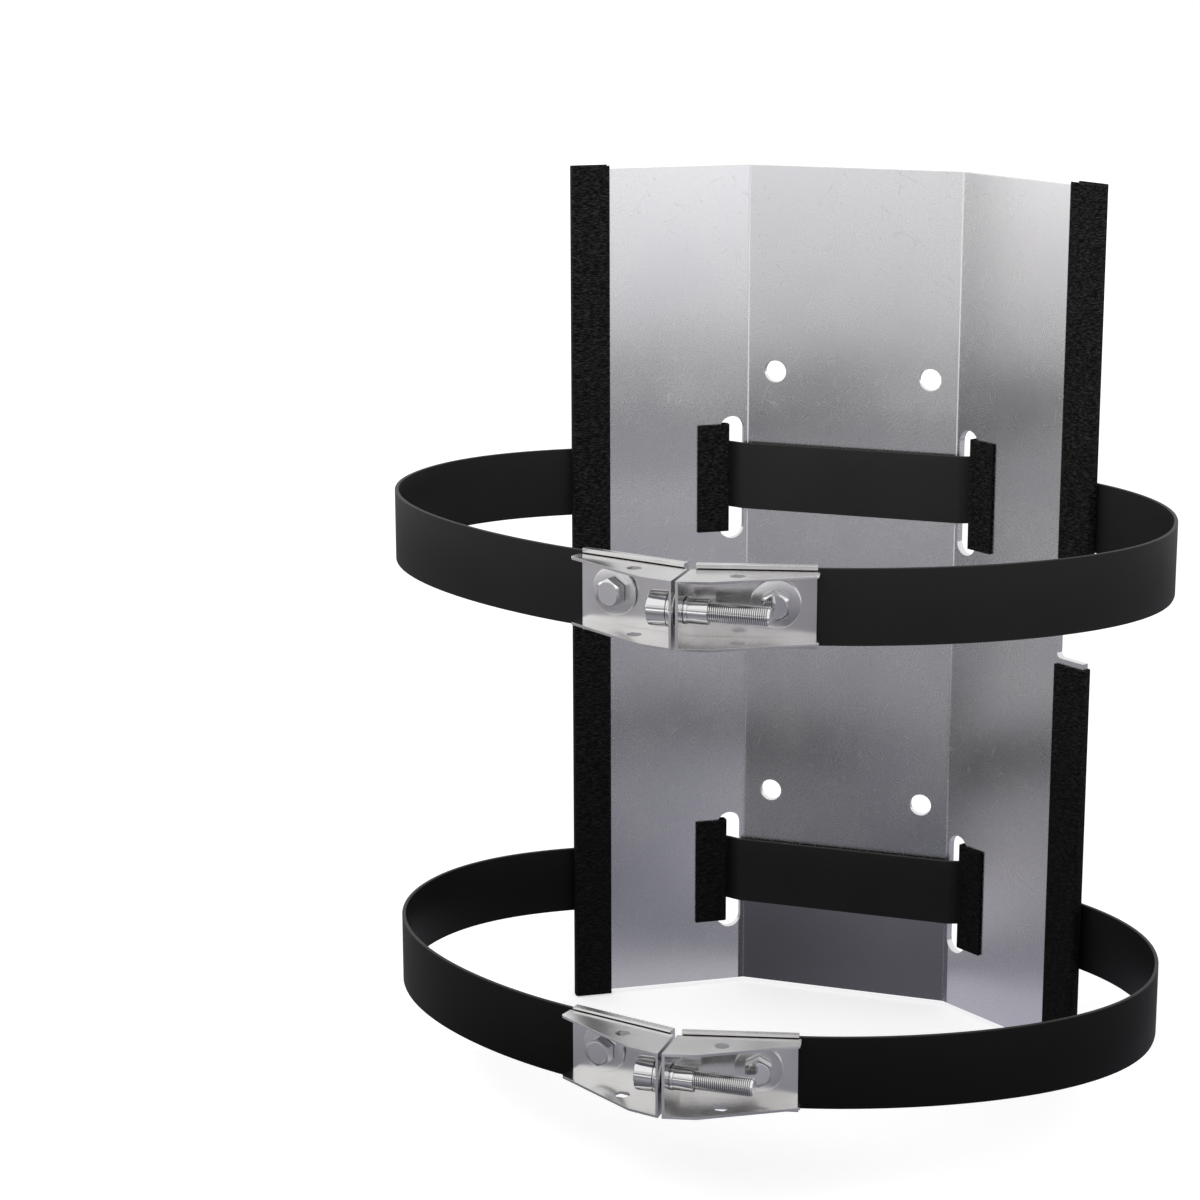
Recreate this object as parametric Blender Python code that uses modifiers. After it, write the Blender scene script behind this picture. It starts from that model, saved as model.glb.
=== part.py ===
"""Gas cylinder bracket: a folded wall plate with two clamping straps.

Units are metres. X runs along the wall, +Y points into the wall and +Z is up.
The origin is the centre of the web's wall face, so the plate spans half its
height above and below it and everything else stands out towards -Y.
"""

from math import atan2, cos, pi, radians, sin, tan

import bmesh
import bpy
from mathutils import Matrix, Vector
from mathutils.geometry import interpolate_bezier

MM = 0.001

# Wall plate
PLATE_HEIGHT = 350 * MM
WEB_WIDTH = 88 * MM
SHEET = 3 * MM
WING_ANGLE = radians(33)
WING_LENGTH = 73.2 * MM
FOLD_RADIUS = 2.5 * MM
SCREW_HOLE_DIAMETER = 9 * MM
SCREW_HOLE_INSET = 11.5 * MM
SCREW_HOLE_SPACING = 180 * MM
SCREW_HOLE_RAISE = 1 * MM
NOTCH_HEIGHT = 22.4 * MM
NOTCH_DEPTH = 13.9 * MM
NOTCH_RADIUS = 2 * MM

# Strap slots in the wings
SLOT_HEIGHT = 51.6 * MM
SLOT_WIDTH = 10.4 * MM
SLOT_INSET = 1.6 * MM
SLOT_TOP_INSET = 128.8 * MM
SLOT_BOTTOM_INSET = 49.6 * MM
SLOT_LEVELS = {
    "upper": PLATE_HEIGHT / 2 - SLOT_TOP_INSET,
    "lower": SLOT_BOTTOM_INSET - PLATE_HEIGHT / 2,
}

# Rubber edge trims
TRIM_WALL = 0.8 * MM
TRIM_DEPTH = 14.4 * MM
TRIM_OVERHANG = 1.5 * MM
TRIM_SETBACK = 2.5 * MM
TRIM_BEND = 1 * MM
SLOT_TRIM_HEIGHT = 45 * MM
SLOT_TRIM_DEPTH = 12.6 * MM
SLOT_TRIM_SLACK = 2.7 * MM

# Straps
STRAP_HEIGHT = 27.7 * MM
STRAP_RAISE = 0.8 * MM
STRAP_LEVELS = {
    "upper": SLOT_LEVELS["upper"] + STRAP_RAISE,
    "lower": SLOT_LEVELS["lower"],
}
STRAP_DROOPS = {"upper": 0.6 * MM, "lower": 1.2 * MM}
STRAP_THICKNESS = 1.5 * MM
STRAP_RIM = 0.35 * MM
STRAP_BEND = 5 * MM
RING_HALF_WIDTH = 150 * MM
RING_SHIFT = -2.2 * MM
RING_SIDE_DEPTH = 104 * MM
RING_FRONT_DEPTH = 213.6 * MM
UPPER_RING_SHORTFALL = 1.2 * MM
RING_FRONT_DEPTHS = {
    "upper": RING_FRONT_DEPTH - UPPER_RING_SHORTFALL,
    "lower": RING_FRONT_DEPTH,
}
WING_PULL = 12 * MM
SIDE_PULL = 42 * MM
FRONT_SIDE_SHARE = 0.466
FRONT_CLASP_SHARE = 0.43

# Clasps
CLASP_ANGLE = radians(14)
CLASP_CENTRES = {"upper": -1.4 * MM, "lower": -5.5 * MM}
CLASP_GAP = 1.4 * MM
CLASP_SHEET = 1 * MM
CLASP_HEIGHT = 24.8 * MM
CLASP_BASE_REACH = 42.9 * MM
CLASP_FLANGE_REACH = 44.9 * MM
CLASP_END_RISE = 19.1 * MM
CLASP_KINK_REACH = 12.7 * MM
CLASP_KINK_RISE = 16.2 * MM
CLASP_TIP_REACH = 43.7 * MM
CLASP_TIP_RISE = 6.8 * MM
CLASP_TIP_ROUND = 1.2 * MM
CLASP_BEND = 0.9 * MM
FLANGE_HOLE_WIDTH = 5.9 * MM
FLANGE_HOLE_REACH = 18.7 * MM
FLANGE_HOLE_RISE = 9.7 * MM
TRAY_SHEET = 0.6 * MM
TRAY_REACH = 44 * MM
TRAY_BEND = 0.5 * MM
STRAP_END_REACH = 2.7 * MM

# Clamp screws through the straps
CLAMP_REACH = 29.6 * MM
CLAMP_RAISE = 0.8 * MM
CLAMP_SHANK = 6 * MM
CLAMP_HEAD_FLATS = 9.4 * MM
CLAMP_HEAD_HEIGHT = 4 * MM
CLAMP_CROWN_DIAMETER = 8 * MM
CLAMP_CROWN_SLOPE = 0.4
CLAMP_CHAMFER = 0.6 * MM
CLAMP_WASHER_DIAMETER = 17.8 * MM
CLAMP_WASHER_THICKNESS = 1 * MM
CLAMP_NUT_DIAMETER = 11 * MM
CLAMP_NUT_HEIGHT = 2.6 * MM
NUT_RIM = 0.4 * MM
WASHER_RIM = 0.25 * MM

# Tension screws across the clasp gap
SCREW_RISE = 9.4 * MM
SCREW_DIAMETER = 7 * MM
SCREW_LENGTH = 36.4 * MM
SCREW_HEAD_DIAMETER = 12.6 * MM
SCREW_HEAD_HEIGHT = 7 * MM
SCREW_SOCKET_FLATS = 6 * MM
SCREW_SOCKET_DEPTH = 3.2 * MM
SCREW_CHAMFER = 0.8 * MM
FLAT_WASHER_DIAMETER = 15.6 * MM
FLAT_WASHER_THICKNESS = 0.8 * MM
SPRING_WASHER_DIAMETER = 13.2 * MM
SPRING_WASHER_THICKNESS = 0.9 * MM
SLEEVE_DIAMETER = 9 * MM
SLEEVE_LENGTH = 8.4 * MM
SLEEVE_RIM = 0.3 * MM
SLEEVE_BULGE_DIAMETER = 9.6 * MM
SLEEVE_BULGE_LENGTH = 0.8 * MM
SLEEVE_FLANGE_DIAMETER = 13 * MM
SLEEVE_FLANGE_THICKNESS = 0.8 * MM

# Fits
CLEARANCE = 0.3 * MM
BORE_CLEARANCE = 0.3 * MM
LINE_TOLERANCE = 1e-6 * MM
MERGE_DISTANCE = 0.01 * MM
SHARP_ANGLE = radians(50)

# Steps of the curves
ARC_STEPS = 5
BEND_STEPS = 3
ROUND_STEPS = 28
SHANK_STEPS = 20
RING_BACK_STEPS = 14
RING_FRONT_STEPS = 18

SIDES = {"left": -1, "right": 1}
CUT_MARGIN = 5 * MM

PARTS = "gas_cylinder_bracket"
CUTTERS = "cutters"


def clear_scene():
    """Remove every object, so that the script starts from nothing."""
    for thing in list(bpy.data.objects):
        bpy.data.objects.remove(thing, do_unlink=True)


def make_collections():
    """Make one collection for the parts and one for the cutters."""
    for name in (PARTS, CUTTERS):
        collection = bpy.data.collections.new(name)
        bpy.context.scene.collection.children.link(collection)


def make_material(name, colour, roughness, metallic):
    """Return a Principled material with one plain colour."""
    material = bpy.data.materials.new(name)
    material.use_nodes = True
    shader = material.node_tree.nodes["Principled BSDF"]
    shader.inputs["Base Color"].default_value = (*colour, 1.0)
    shader.inputs["Roughness"].default_value = roughness
    shader.inputs["Metallic"].default_value = metallic
    return material


def add_object(name, bm, material, collection=PARTS):
    """Turn a bmesh into a named object in its collection."""
    mesh = bpy.data.meshes.new(name)
    bmesh.ops.recalc_face_normals(bm, faces=bm.faces)
    bm.to_mesh(mesh)
    bm.free()
    if material is not None:
        mesh.materials.append(material)
    thing = bpy.data.objects.new(name, mesh)
    bpy.data.collections[collection].objects.link(thing)
    return thing


def add_cutter(name, bm):
    """Turn a bmesh into a cutter that neither renders nor counts as a part."""
    cutter = add_object(name, bm, None, CUTTERS)
    cutter.hide_render = True
    cutter.display_type = "WIRE"
    return cutter


def cut(thing, cutter, operation="DIFFERENCE"):
    """Add an exact Boolean between an object and a cutter."""
    modifier = thing.modifiers.new(cutter.name, "BOOLEAN")
    modifier.operation = operation
    modifier.solver = "EXACT"
    modifier.object = cutter
    return modifier


def rounded_path(corners, radius, closed=False):
    """Replace the inner corners of a plan path by arcs of one radius."""
    points = [Vector(corner) for corner in corners]
    count = len(points)
    path = []
    for index, corner in enumerate(points):
        if not closed and index in (0, count - 1):
            path.append(corner)
            continue
        before = (points[index - 1] - corner).normalized()
        after = (points[(index + 1) % count] - corner).normalized()
        half = before.angle(after) / 2
        reach = radius / tan(half)
        centre = corner + (before + after).normalized() * radius / sin(half)
        start = corner + before * reach - centre
        sweep = (corner + after * reach - centre).angle_signed(start)
        for step in range(ARC_STEPS + 1):
            turn = Matrix.Rotation(sweep * step / ARC_STEPS, 2)
            path.append(centre + turn @ start)
    return path


def ribbon(name, path, level, height, thickness, material, offset=0.0):
    """Stand a plan path up as a strip of sheet centred on a level."""
    bm = bmesh.new()
    row = [bm.verts.new((x, y, -height / 2)) for x, y in path]
    edges = [bm.edges.new(pair) for pair in zip(row, row[1:])]
    raised = bmesh.ops.extrude_edge_only(bm, edges=edges)["geom"]
    top = [item for item in raised if isinstance(item, bmesh.types.BMVert)]
    bmesh.ops.translate(bm, verts=top, vec=(0, 0, height))
    thing = add_object(name, bm, material)
    thing.location.z = level
    solid = thing.modifiers.new("thickness", "SOLIDIFY")
    solid.thickness = thickness
    solid.offset = offset
    solid.use_even_offset = True
    return thing


def prism_mesh(outline, bottom, top):
    """Return the bmesh of a plan outline raised between two levels."""
    bm = bmesh.new()
    face = bm.faces.new([bm.verts.new((x, y, bottom)) for x, y in outline])
    raised = bmesh.ops.extrude_face_region(bm, geom=[face])["geom"]
    verts = [item for item in raised if isinstance(item, bmesh.types.BMVert)]
    bmesh.ops.translate(bm, verts=verts, vec=(0, 0, top - bottom))
    return bm


def cylinder_mesh(diameter, depth, segments=ROUND_STEPS):
    """Return the bmesh of a cylinder on the Z axis, centred on the origin."""
    bm = bmesh.new()
    bmesh.ops.create_cone(
        bm, cap_ends=True, segments=segments, radius1=diameter / 2,
        radius2=diameter / 2, depth=depth,
    )
    return bm


def turned(name, profile, material, closed=False, steps=ROUND_STEPS):
    """Spin a profile of (radius, height) pairs about Z with a Screw modifier."""
    mesh = bpy.data.meshes.new(name)
    bm = bmesh.new()
    verts = [bm.verts.new((radius, 0, height)) for radius, height in profile]
    pairs = list(zip(verts, verts[1:]))
    if closed:
        pairs.append((verts[-1], verts[0]))
    for pair in pairs:
        bm.edges.new(pair)
    bm.to_mesh(mesh)
    bm.free()
    mesh.materials.append(material)
    thing = bpy.data.objects.new(name, mesh)
    bpy.data.collections[PARTS].objects.link(thing)
    screw = thing.modifiers.new("turn", "SCREW")
    screw.steps = steps
    screw.render_steps = steps
    screw.use_merge_vertices = True
    screw.merge_threshold = MERGE_DISTANCE
    return thing


def ring(name, outer, inner, thickness, material, edge):
    """Make a flat ring that lies from z = 0 up, with its outer rims eased."""
    profile = [
        (inner / 2, thickness),
        (outer / 2 - edge, thickness),
        (outer / 2, thickness - edge),
        (outer / 2, edge),
        (outer / 2 - edge, 0),
        (inner / 2, 0),
    ]
    return turned(name, profile, material, closed=True)


def wing_point(side, along, depth):
    """Return the plan place of a point on a wing.

    along is measured from the fold down the wing's front face, and depth
    from that face towards the wall.
    """
    x = WEB_WIDTH / 2 + along * cos(WING_ANGLE) + depth * sin(WING_ANGLE)
    y = -SHEET - along * sin(WING_ANGLE) + depth * cos(WING_ANGLE)
    return Vector((side * x, y))


def clasp_origin(strap):
    """Return the plan place where the strap's two ends would meet."""
    return Vector((CLASP_CENTRES[strap], -SHEET - RING_FRONT_DEPTHS[strap]))


def half_point(side, along, forward):
    """Return a plan offset from the clasp origin in one half's own axes.

    along runs down that half of the strap and forward stands off its centre.
    """
    reach = along * cos(CLASP_ANGLE) + forward * sin(CLASP_ANGLE)
    rise = forward * cos(CLASP_ANGLE) - along * sin(CLASP_ANGLE)
    return Vector((side * reach, -rise))


def base_rise(reach, forward):
    """Return how far a line parallel to the strap stands out at a reach."""
    return (forward - reach * sin(CLASP_ANGLE)) / cos(CLASP_ANGLE)


def clasp_base_back():
    """Return the stand-off of the clasp base's back face."""
    return STRAP_THICKNESS / 2 + CLEARANCE


def build_wall_plate(material):
    """Fold the plate and cut its screw holes, strap slots and notch."""
    front = [wing_point(-1, WING_LENGTH, 0), wing_point(-1, 0, 0)]
    front += [wing_point(1, 0, 0), wing_point(1, WING_LENGTH, 0)]
    path = rounded_path(front, FOLD_RADIUS)
    plate = ribbon("wall_plate", path, 0, PLATE_HEIGHT, SHEET, material, offset=1)
    for cutter in screw_hole_cutters() + slot_cutters() + [notch_cutter()]:
        cut(plate, cutter)
    return plate


def screw_hole_cutters():
    """Make the four cutters of the wall screws' holes."""
    cutters = []
    reach = WEB_WIDTH / 2 - SCREW_HOLE_INSET
    for row in (-1, 1):
        for side in (-1, 1):
            bm = cylinder_mesh(SCREW_HOLE_DIAMETER, SHEET + 2 * CUT_MARGIN)
            cutter = add_cutter("screw_hole", bm)
            cutter.rotation_euler.x = pi / 2
            level = SCREW_HOLE_RAISE + row * SCREW_HOLE_SPACING / 2
            cutter.location = (side * reach, -SHEET / 2, level)
            cutters.append(cutter)
    return cutters


def slot_outline():
    """Return the outline of a slot with round ends, long in its second axis."""
    radius = SLOT_WIDTH / 2
    straight = SLOT_HEIGHT / 2 - radius
    outline = []
    steps = 2 * ARC_STEPS
    for end in (1, -1):
        for step in range(steps + 1):
            angle = pi * step / steps
            x = end * radius * cos(angle)
            y = end * (straight + radius * sin(angle))
            outline.append((x, y))
    return outline


def slot_cutters():
    """Make a cutter square to its wing for each strap slot."""
    cutters = []
    for level in SLOT_LEVELS.values():
        for side in SIDES.values():
            bm = prism_mesh(slot_outline(), -SHEET, 2 * SHEET)
            cutter = add_cutter("slot", bm)
            middle = wing_point(side, SLOT_INSET + SLOT_WIDTH / 2, 0)
            cutter.location = (middle.x, middle.y, level)
            cutter.rotation_euler = (-pi / 2, 0, -side * WING_ANGLE)
            cutters.append(cutter)
    return cutters


def notch_cutter():
    """Make the cutter of the notch in the right wing's outer edge."""
    width = NOTCH_DEPTH + CUT_MARGIN
    corners = [
        (WING_LENGTH - NOTCH_DEPTH, -NOTCH_HEIGHT / 2),
        (WING_LENGTH - NOTCH_DEPTH + width, -NOTCH_HEIGHT / 2),
        (WING_LENGTH - NOTCH_DEPTH + width, NOTCH_HEIGHT / 2),
        (WING_LENGTH - NOTCH_DEPTH, NOTCH_HEIGHT / 2),
    ]
    outline = rounded_path(corners, NOTCH_RADIUS, closed=True)
    cutter = add_cutter("notch", prism_mesh(outline, -SHEET, 2 * SHEET))
    fold = wing_point(1, 0, 0)
    cutter.location = (fold.x, fold.y, 0)
    cutter.rotation_euler = (-pi / 2, 0, -WING_ANGLE)
    return cutter


def trim_path(side, edge, depth, opens_outward=False):
    """Return the U of an edge trim round an edge of the wing's sheet."""
    inward = -1 if not opens_outward else 1
    stand = CLEARANCE + TRIM_WALL / 2
    closed_end = edge - inward * stand
    open_end = edge + inward * depth
    corners = [
        wing_point(side, open_end, -stand),
        wing_point(side, closed_end, -stand),
        wing_point(side, closed_end, SHEET + stand),
        wing_point(side, open_end, SHEET + stand),
    ]
    return rounded_path(corners, TRIM_BEND)


def build_edge_trim(name, side, bottom, top, material):
    """Make one length of edge trim on a wing's outer edge."""
    path = trim_path(side, WING_LENGTH, TRIM_DEPTH)
    level = (top + bottom) / 2
    return ribbon(name, path, level, top - bottom, TRIM_WALL, material)


def build_edge_trims(material):
    """Make the whole left trim and the right one in two lengths."""
    end = PLATE_HEIGHT / 2 + TRIM_OVERHANG
    notch = NOTCH_HEIGHT / 2 + TRIM_SETBACK
    build_edge_trim("edge_trim_left", -1, -end, end, material)
    build_edge_trim("edge_trim_right_upper", 1, notch, end, material)
    build_edge_trim("edge_trim_right_lower", 1, -end, -notch, material)


def build_slot_trims(material):
    """Make the short trims that keep the straps off the slots' edges."""
    edge = SLOT_INSET + SLOT_WIDTH - CLEARANCE - SLOT_TRIM_SLACK
    for strap, level in SLOT_LEVELS.items():
        for name, side in SIDES.items():
            path = trim_path(side, edge, SLOT_TRIM_DEPTH, opens_outward=True)
            title = f"slot_trim_{strap}_{name}"
            ribbon(title, path, level, SLOT_TRIM_HEIGHT, TRIM_WALL, material)


def strap_stand_off():
    """Return how deep behind the wing's front face the strap's centre runs."""
    return SHEET + 2 * CLEARANCE + TRIM_WALL + STRAP_THICKNESS / 2


def strap_half(strap, side):
    """Return half of a strap's plan path, from the web out to the clasp."""
    web_depth = SLOT_INSET * sin(WING_ANGLE) + CLEARANCE + STRAP_THICKNESS / 2
    behind = strap_stand_off()
    slot_end = SLOT_INSET + SLOT_WIDTH - SLOT_TRIM_SLACK - TRIM_WALL
    web_end = Vector((side * (WEB_WIDTH / 2 + SLOT_INSET), -SHEET - web_depth))
    into_slot = wing_point(side, slot_end - 2 * CLEARANCE - TRIM_WALL, behind)
    leave_wing = wing_point(side, WING_LENGTH + TRIM_WALL, behind)
    corners = [Vector((0, web_end.y)), web_end, into_slot, leave_wing]
    path = rounded_path(corners, STRAP_BEND)
    return path + ring_quarter(side, leave_wing) + front_run(strap, side)


def ring_side(side):
    """Return the ring's outermost plan point on one side."""
    return Vector((RING_SHIFT + side * RING_HALF_WIDTH, -SHEET - RING_SIDE_DEPTH))


def curve_points(start, start_handle, end_handle, end, count):
    """Return the inner points of a plan Bezier curve."""
    handles = [Vector((*point, 0)) for point in (start, start_handle, end_handle, end)]
    return [point.to_2d() for point in interpolate_bezier(*handles, count)][1:]


def ring_quarter(side, start):
    """Return the free run from the wing's edge to the ring's side."""
    along_wing = (start - wing_point(side, 0, strap_stand_off())).normalized()
    side_point = ring_side(side)
    start_handle = start + along_wing * WING_PULL
    end_handle = side_point + Vector((0, SIDE_PULL))
    return curve_points(start, start_handle, end_handle, side_point, RING_BACK_STEPS)


def front_run(strap, side):
    """Return the run from the ring's side round to the strap's end."""
    origin = clasp_origin(strap)
    tangent = origin + half_point(side, CLASP_FLANGE_REACH, 0)
    back = (half_point(side, 1, 0) - half_point(side, 0, 0)).normalized()
    side_point = ring_side(side)
    depth = RING_FRONT_DEPTHS[strap] - RING_SIDE_DEPTH
    start_handle = side_point - Vector((0, FRONT_SIDE_SHARE * depth))
    end_handle = tangent + back * FRONT_CLASP_SHARE * depth
    path = curve_points(side_point, start_handle, end_handle, tangent, RING_FRONT_STEPS)
    return path + [origin + half_point(side, STRAP_END_REACH, 0)]


def droop(strap, y):
    """Return how far a strap hangs below its level, none at the web."""
    return STRAP_DROOPS[strap] * (-SHEET - y) / RING_FRONT_DEPTHS[strap]


def build_strap(strap, material):
    """Bend one strap round the cylinder's space and pierce its two ends."""
    left = strap_half(strap, -1)
    right = strap_half(strap, 1)
    path = list(reversed(left)) + right[1:]
    level = STRAP_LEVELS[strap]
    band = ribbon(
        f"strap_{strap}", path, level, STRAP_HEIGHT, STRAP_THICKNESS, material
    )
    for vert in band.data.vertices:
        vert.co.z -= droop(strap, vert.co.y)
    ease_edges(band, STRAP_RIM)
    for side in SIDES.values():
        depth = STRAP_THICKNESS + 2 * CUT_MARGIN
        cutter = clamp_hole_cutter(depth)
        place_on_half(cutter, strap, side, CLAMP_REACH, 0)
        cut(band, cutter)
    return band


def ease_edges(thing, width):
    """Bevel an object's sharp edges with one flat."""
    bevel = thing.modifiers.new("eased", "BEVEL")
    bevel.width = width
    bevel.segments = 1
    bevel.limit_method = "ANGLE"
    bevel.angle_limit = SHARP_ANGLE
    bevel.use_clamp_overlap = True
    return bevel


def clamp_hole_cutter(depth):
    """Return a cutter for the clamp screw's hole, on its own Z axis."""
    diameter = CLAMP_SHANK + 2 * BORE_CLEARANCE
    return add_cutter("clamp_hole", cylinder_mesh(diameter, depth, SHANK_STEPS))


def place_on_half(thing, strap, side, along, forward):
    """Stand an object's Z axis square to one half of a strap, at its clamp screw."""
    spot = clasp_origin(strap) + half_point(side, along, forward)
    outward = half_point(side, 0, 1)
    thing.location = (spot.x, spot.y, STRAP_LEVELS[strap] + CLAMP_RAISE)
    heading = atan2(outward.y, outward.x)
    turn = Matrix.Rotation(heading, 4, "Z") @ Matrix.Rotation(pi / 2, 4, "Y")
    thing.rotation_euler = turn.to_euler()
    return thing


def clasp_outline(side):
    """Return the plan outline of a clasp half, base line first."""
    back = clasp_base_back()
    gap = CLASP_GAP / 2
    root = base_rise(gap, back)
    tip = base_rise(CLASP_TIP_REACH, back)
    lean = CLASP_TIP_RISE * tan(CLASP_ANGLE)
    edge = rounded_path(
        [
            (CLASP_TIP_REACH, tip),
            (CLASP_TIP_REACH + lean, tip + CLASP_TIP_RISE),
            (CLASP_KINK_REACH, root + CLASP_KINK_RISE),
        ],
        CLASP_TIP_ROUND,
    )
    corners = [(gap, root)] + edge + [(gap, root + CLASP_END_RISE)]
    return [(side * reach, -rise) for reach, rise in corners]


def clasp_pocket(side):
    """Return the cutter that hollows a clasp half between its flanges."""
    front = clasp_base_back() + CLASP_SHEET
    inner = CLASP_GAP / 2 + CLASP_SHEET
    far = CLASP_FLANGE_REACH + CUT_MARGIN
    corners = [
        (inner, base_rise(inner, front)),
        (CLASP_BASE_REACH, base_rise(CLASP_BASE_REACH, front)),
        (CLASP_BASE_REACH, base_rise(CLASP_BASE_REACH, front) - CUT_MARGIN),
        (far, base_rise(far, front) - CUT_MARGIN),
        (far, CLASP_END_RISE + CUT_MARGIN),
        (inner, CLASP_END_RISE + CUT_MARGIN),
    ]
    outline = [(side * reach, -rise) for reach, rise in corners]
    half = CLASP_HEIGHT / 2 - CLASP_SHEET
    return add_cutter("clasp_pocket", prism_mesh(outline, -half, half))


def flange_hole(side):
    """Return the cutter of the six-sided holes in both flanges."""
    bm = cylinder_mesh(FLANGE_HOLE_WIDTH, CLASP_HEIGHT + 2 * CUT_MARGIN, 6)
    turn_to_corner = Matrix.Rotation(pi / 2, 4, "Z")
    bmesh.ops.transform(bm, matrix=turn_to_corner, verts=bm.verts)
    cutter = add_cutter("flange_hole", bm)
    rise = base_rise(FLANGE_HOLE_REACH, clasp_base_back()) + FLANGE_HOLE_RISE
    cutter.location = (side * FLANGE_HOLE_REACH, -rise, 0)
    return cutter


def screw_rise():
    """Return how far the tension screw's axis stands out from the origin."""
    return base_rise(CLASP_GAP / 2, clasp_base_back()) + SCREW_RISE


def end_plate_hole(side, diameter):
    """Return the cutter of the tension screw's hole in an end plate."""
    bm = cylinder_mesh(diameter, CLASP_GAP + 2 * CLASP_SHEET)
    cutter = add_cutter("end_plate_hole", bm)
    cutter.rotation_euler.y = pi / 2
    cutter.location = (side * (CLASP_GAP + CLASP_SHEET) / 2, -screw_rise(), 0)
    return cutter


def bend_weights(bm, back_line, amount):
    """Mark a prism's back edges, top and bottom, for a weighted bevel."""
    weights = bm.edges.layers.float.new("bevel_weight_edge")
    start, end = back_line
    for edge in bm.edges:
        flat = abs(edge.verts[0].co.z - edge.verts[1].co.z) < CLEARANCE
        on_line = all(
            abs((vert.co.to_2d() - start).cross(end - start)) < LINE_TOLERANCE
            for vert in edge.verts
        )
        if flat and on_line:
            edge[weights] = amount


def weighted_bevel(thing, width):
    """Round the edges that carry a bevel weight."""
    bevel = thing.modifiers.new("bend", "BEVEL")
    bevel.width = width
    bevel.segments = BEND_STEPS
    bevel.limit_method = "WEIGHT"
    return bevel


def build_clasp_half(strap, side_name, material):
    """Fold one clasp half: base, two tapering flanges and an end plate."""
    side = SIDES[side_name]
    outline = clasp_outline(side)
    half = CLASP_HEIGHT / 2
    bm = prism_mesh(outline, -half, half)
    bend_weights(bm, [Vector(point) for point in outline[:2]], 1.0)
    thing = add_object(f"clasp_{strap}_{side_name}", bm, material)
    weighted_bevel(thing, CLASP_BEND)
    hole = SCREW_DIAMETER if side < 0 else SLEEVE_DIAMETER
    clamp = clamp_hole_cutter(CLASP_SHEET + 2 * CLEARANCE)
    spot = half_point(side, CLAMP_REACH, clasp_base_back() + CLASP_SHEET / 2)
    clamp.location = (spot.x, spot.y, CLAMP_RAISE)
    clamp.rotation_euler = (pi / 2, 0, side * CLASP_ANGLE)
    cutters = [clasp_pocket(side), flange_hole(side), clamp]
    cutters.append(end_plate_hole(side, hole + 2 * BORE_CLEARANCE))
    origin = clasp_origin(strap)
    place = Vector((origin.x, origin.y, STRAP_LEVELS[strap]))
    for cutter in cutters:
        cutter.location += place
        cut(thing, cutter)
    thing.location = place
    return thing


def tray_outline(side, front, back, reach_start, reach_end):
    """Return the plan outline of a strip along the strap's centre."""
    corners = [
        (reach_start, front), (reach_end, front), (reach_end, back), (reach_start, back)
    ]
    return [half_point(side, along, forward) for along, forward in corners]


def build_tray(strap, side_name, material):
    """Make the shallow tray whose lips reach round a strap end's edges."""
    side = SIDES[side_name]
    inner_back = -STRAP_THICKNESS / 2 - CLEARANCE
    outer_back = inner_back - TRAY_SHEET
    inner_front = -inner_back
    front = inner_front + TRAY_SHEET
    start = STRAP_END_REACH - CLEARANCE - TRAY_SHEET
    half = STRAP_HEIGHT / 2 + CLEARANCE + TRAY_SHEET
    outline = tray_outline(side, front, outer_back, start, TRAY_REACH)
    bm = prism_mesh(outline, -half, half)
    bend_weights(bm, [outline[2], outline[3]], 1.0)
    thing = add_object(f"strap_tray_{strap}_{side_name}", bm, material)
    weighted_bevel(thing, TRAY_BEND)
    far = TRAY_REACH + CUT_MARGIN
    pocket = tray_outline(side, inner_front, inner_back, start + TRAY_SHEET, far)
    room = half - TRAY_SHEET
    hollow = add_cutter("tray_pocket", prism_mesh(pocket, -room, room))
    opening = tray_outline(
        side, front + CUT_MARGIN, STRAP_THICKNESS / 2, start - CUT_MARGIN, far
    )
    lip = CLASP_HEIGHT / 2 + CLEARANCE
    window = add_cutter("tray_window", prism_mesh(opening, -lip, lip))
    clamp = clamp_hole_cutter(TRAY_SHEET + 2 * CLEARANCE)
    spot = half_point(side, CLAMP_REACH, inner_back - TRAY_SHEET / 2)
    clamp.location = (spot.x, spot.y, CLAMP_RAISE)
    clamp.rotation_euler = (pi / 2, 0, side * CLASP_ANGLE)
    origin = clasp_origin(strap)
    place = Vector((origin.x, origin.y, STRAP_LEVELS[strap]))
    for cutter in (hollow, window, clamp):
        cutter.location += place
        cut(thing, cutter)
    hollow.location.z -= STRAP_DROOPS[strap]
    thing.location = place
    thing.location.z -= STRAP_DROOPS[strap]
    return thing


def hex_prism(diameter_flats, height):
    """Return the bmesh of a six-sided prism that stands from z = 0 up."""
    bm = cylinder_mesh(diameter_flats / cos(pi / 6), height, 6)
    corner_up = Matrix.Rotation(pi / 2, 4, "Z")
    place = Matrix.Translation((0, 0, height / 2)) @ corner_up
    bmesh.ops.transform(bm, matrix=place, verts=bm.verts)
    return bm


def clamp_stack():
    """Return the stand-offs of the clamp screw's washer, head and nut."""
    washer = clasp_base_back() + CLASP_SHEET + CLEARANCE
    head = washer + CLAMP_WASHER_THICKNESS + CLEARANCE
    nut = -(STRAP_THICKNESS / 2 + TRAY_SHEET + 2 * CLEARANCE)
    return washer, head, nut


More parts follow.
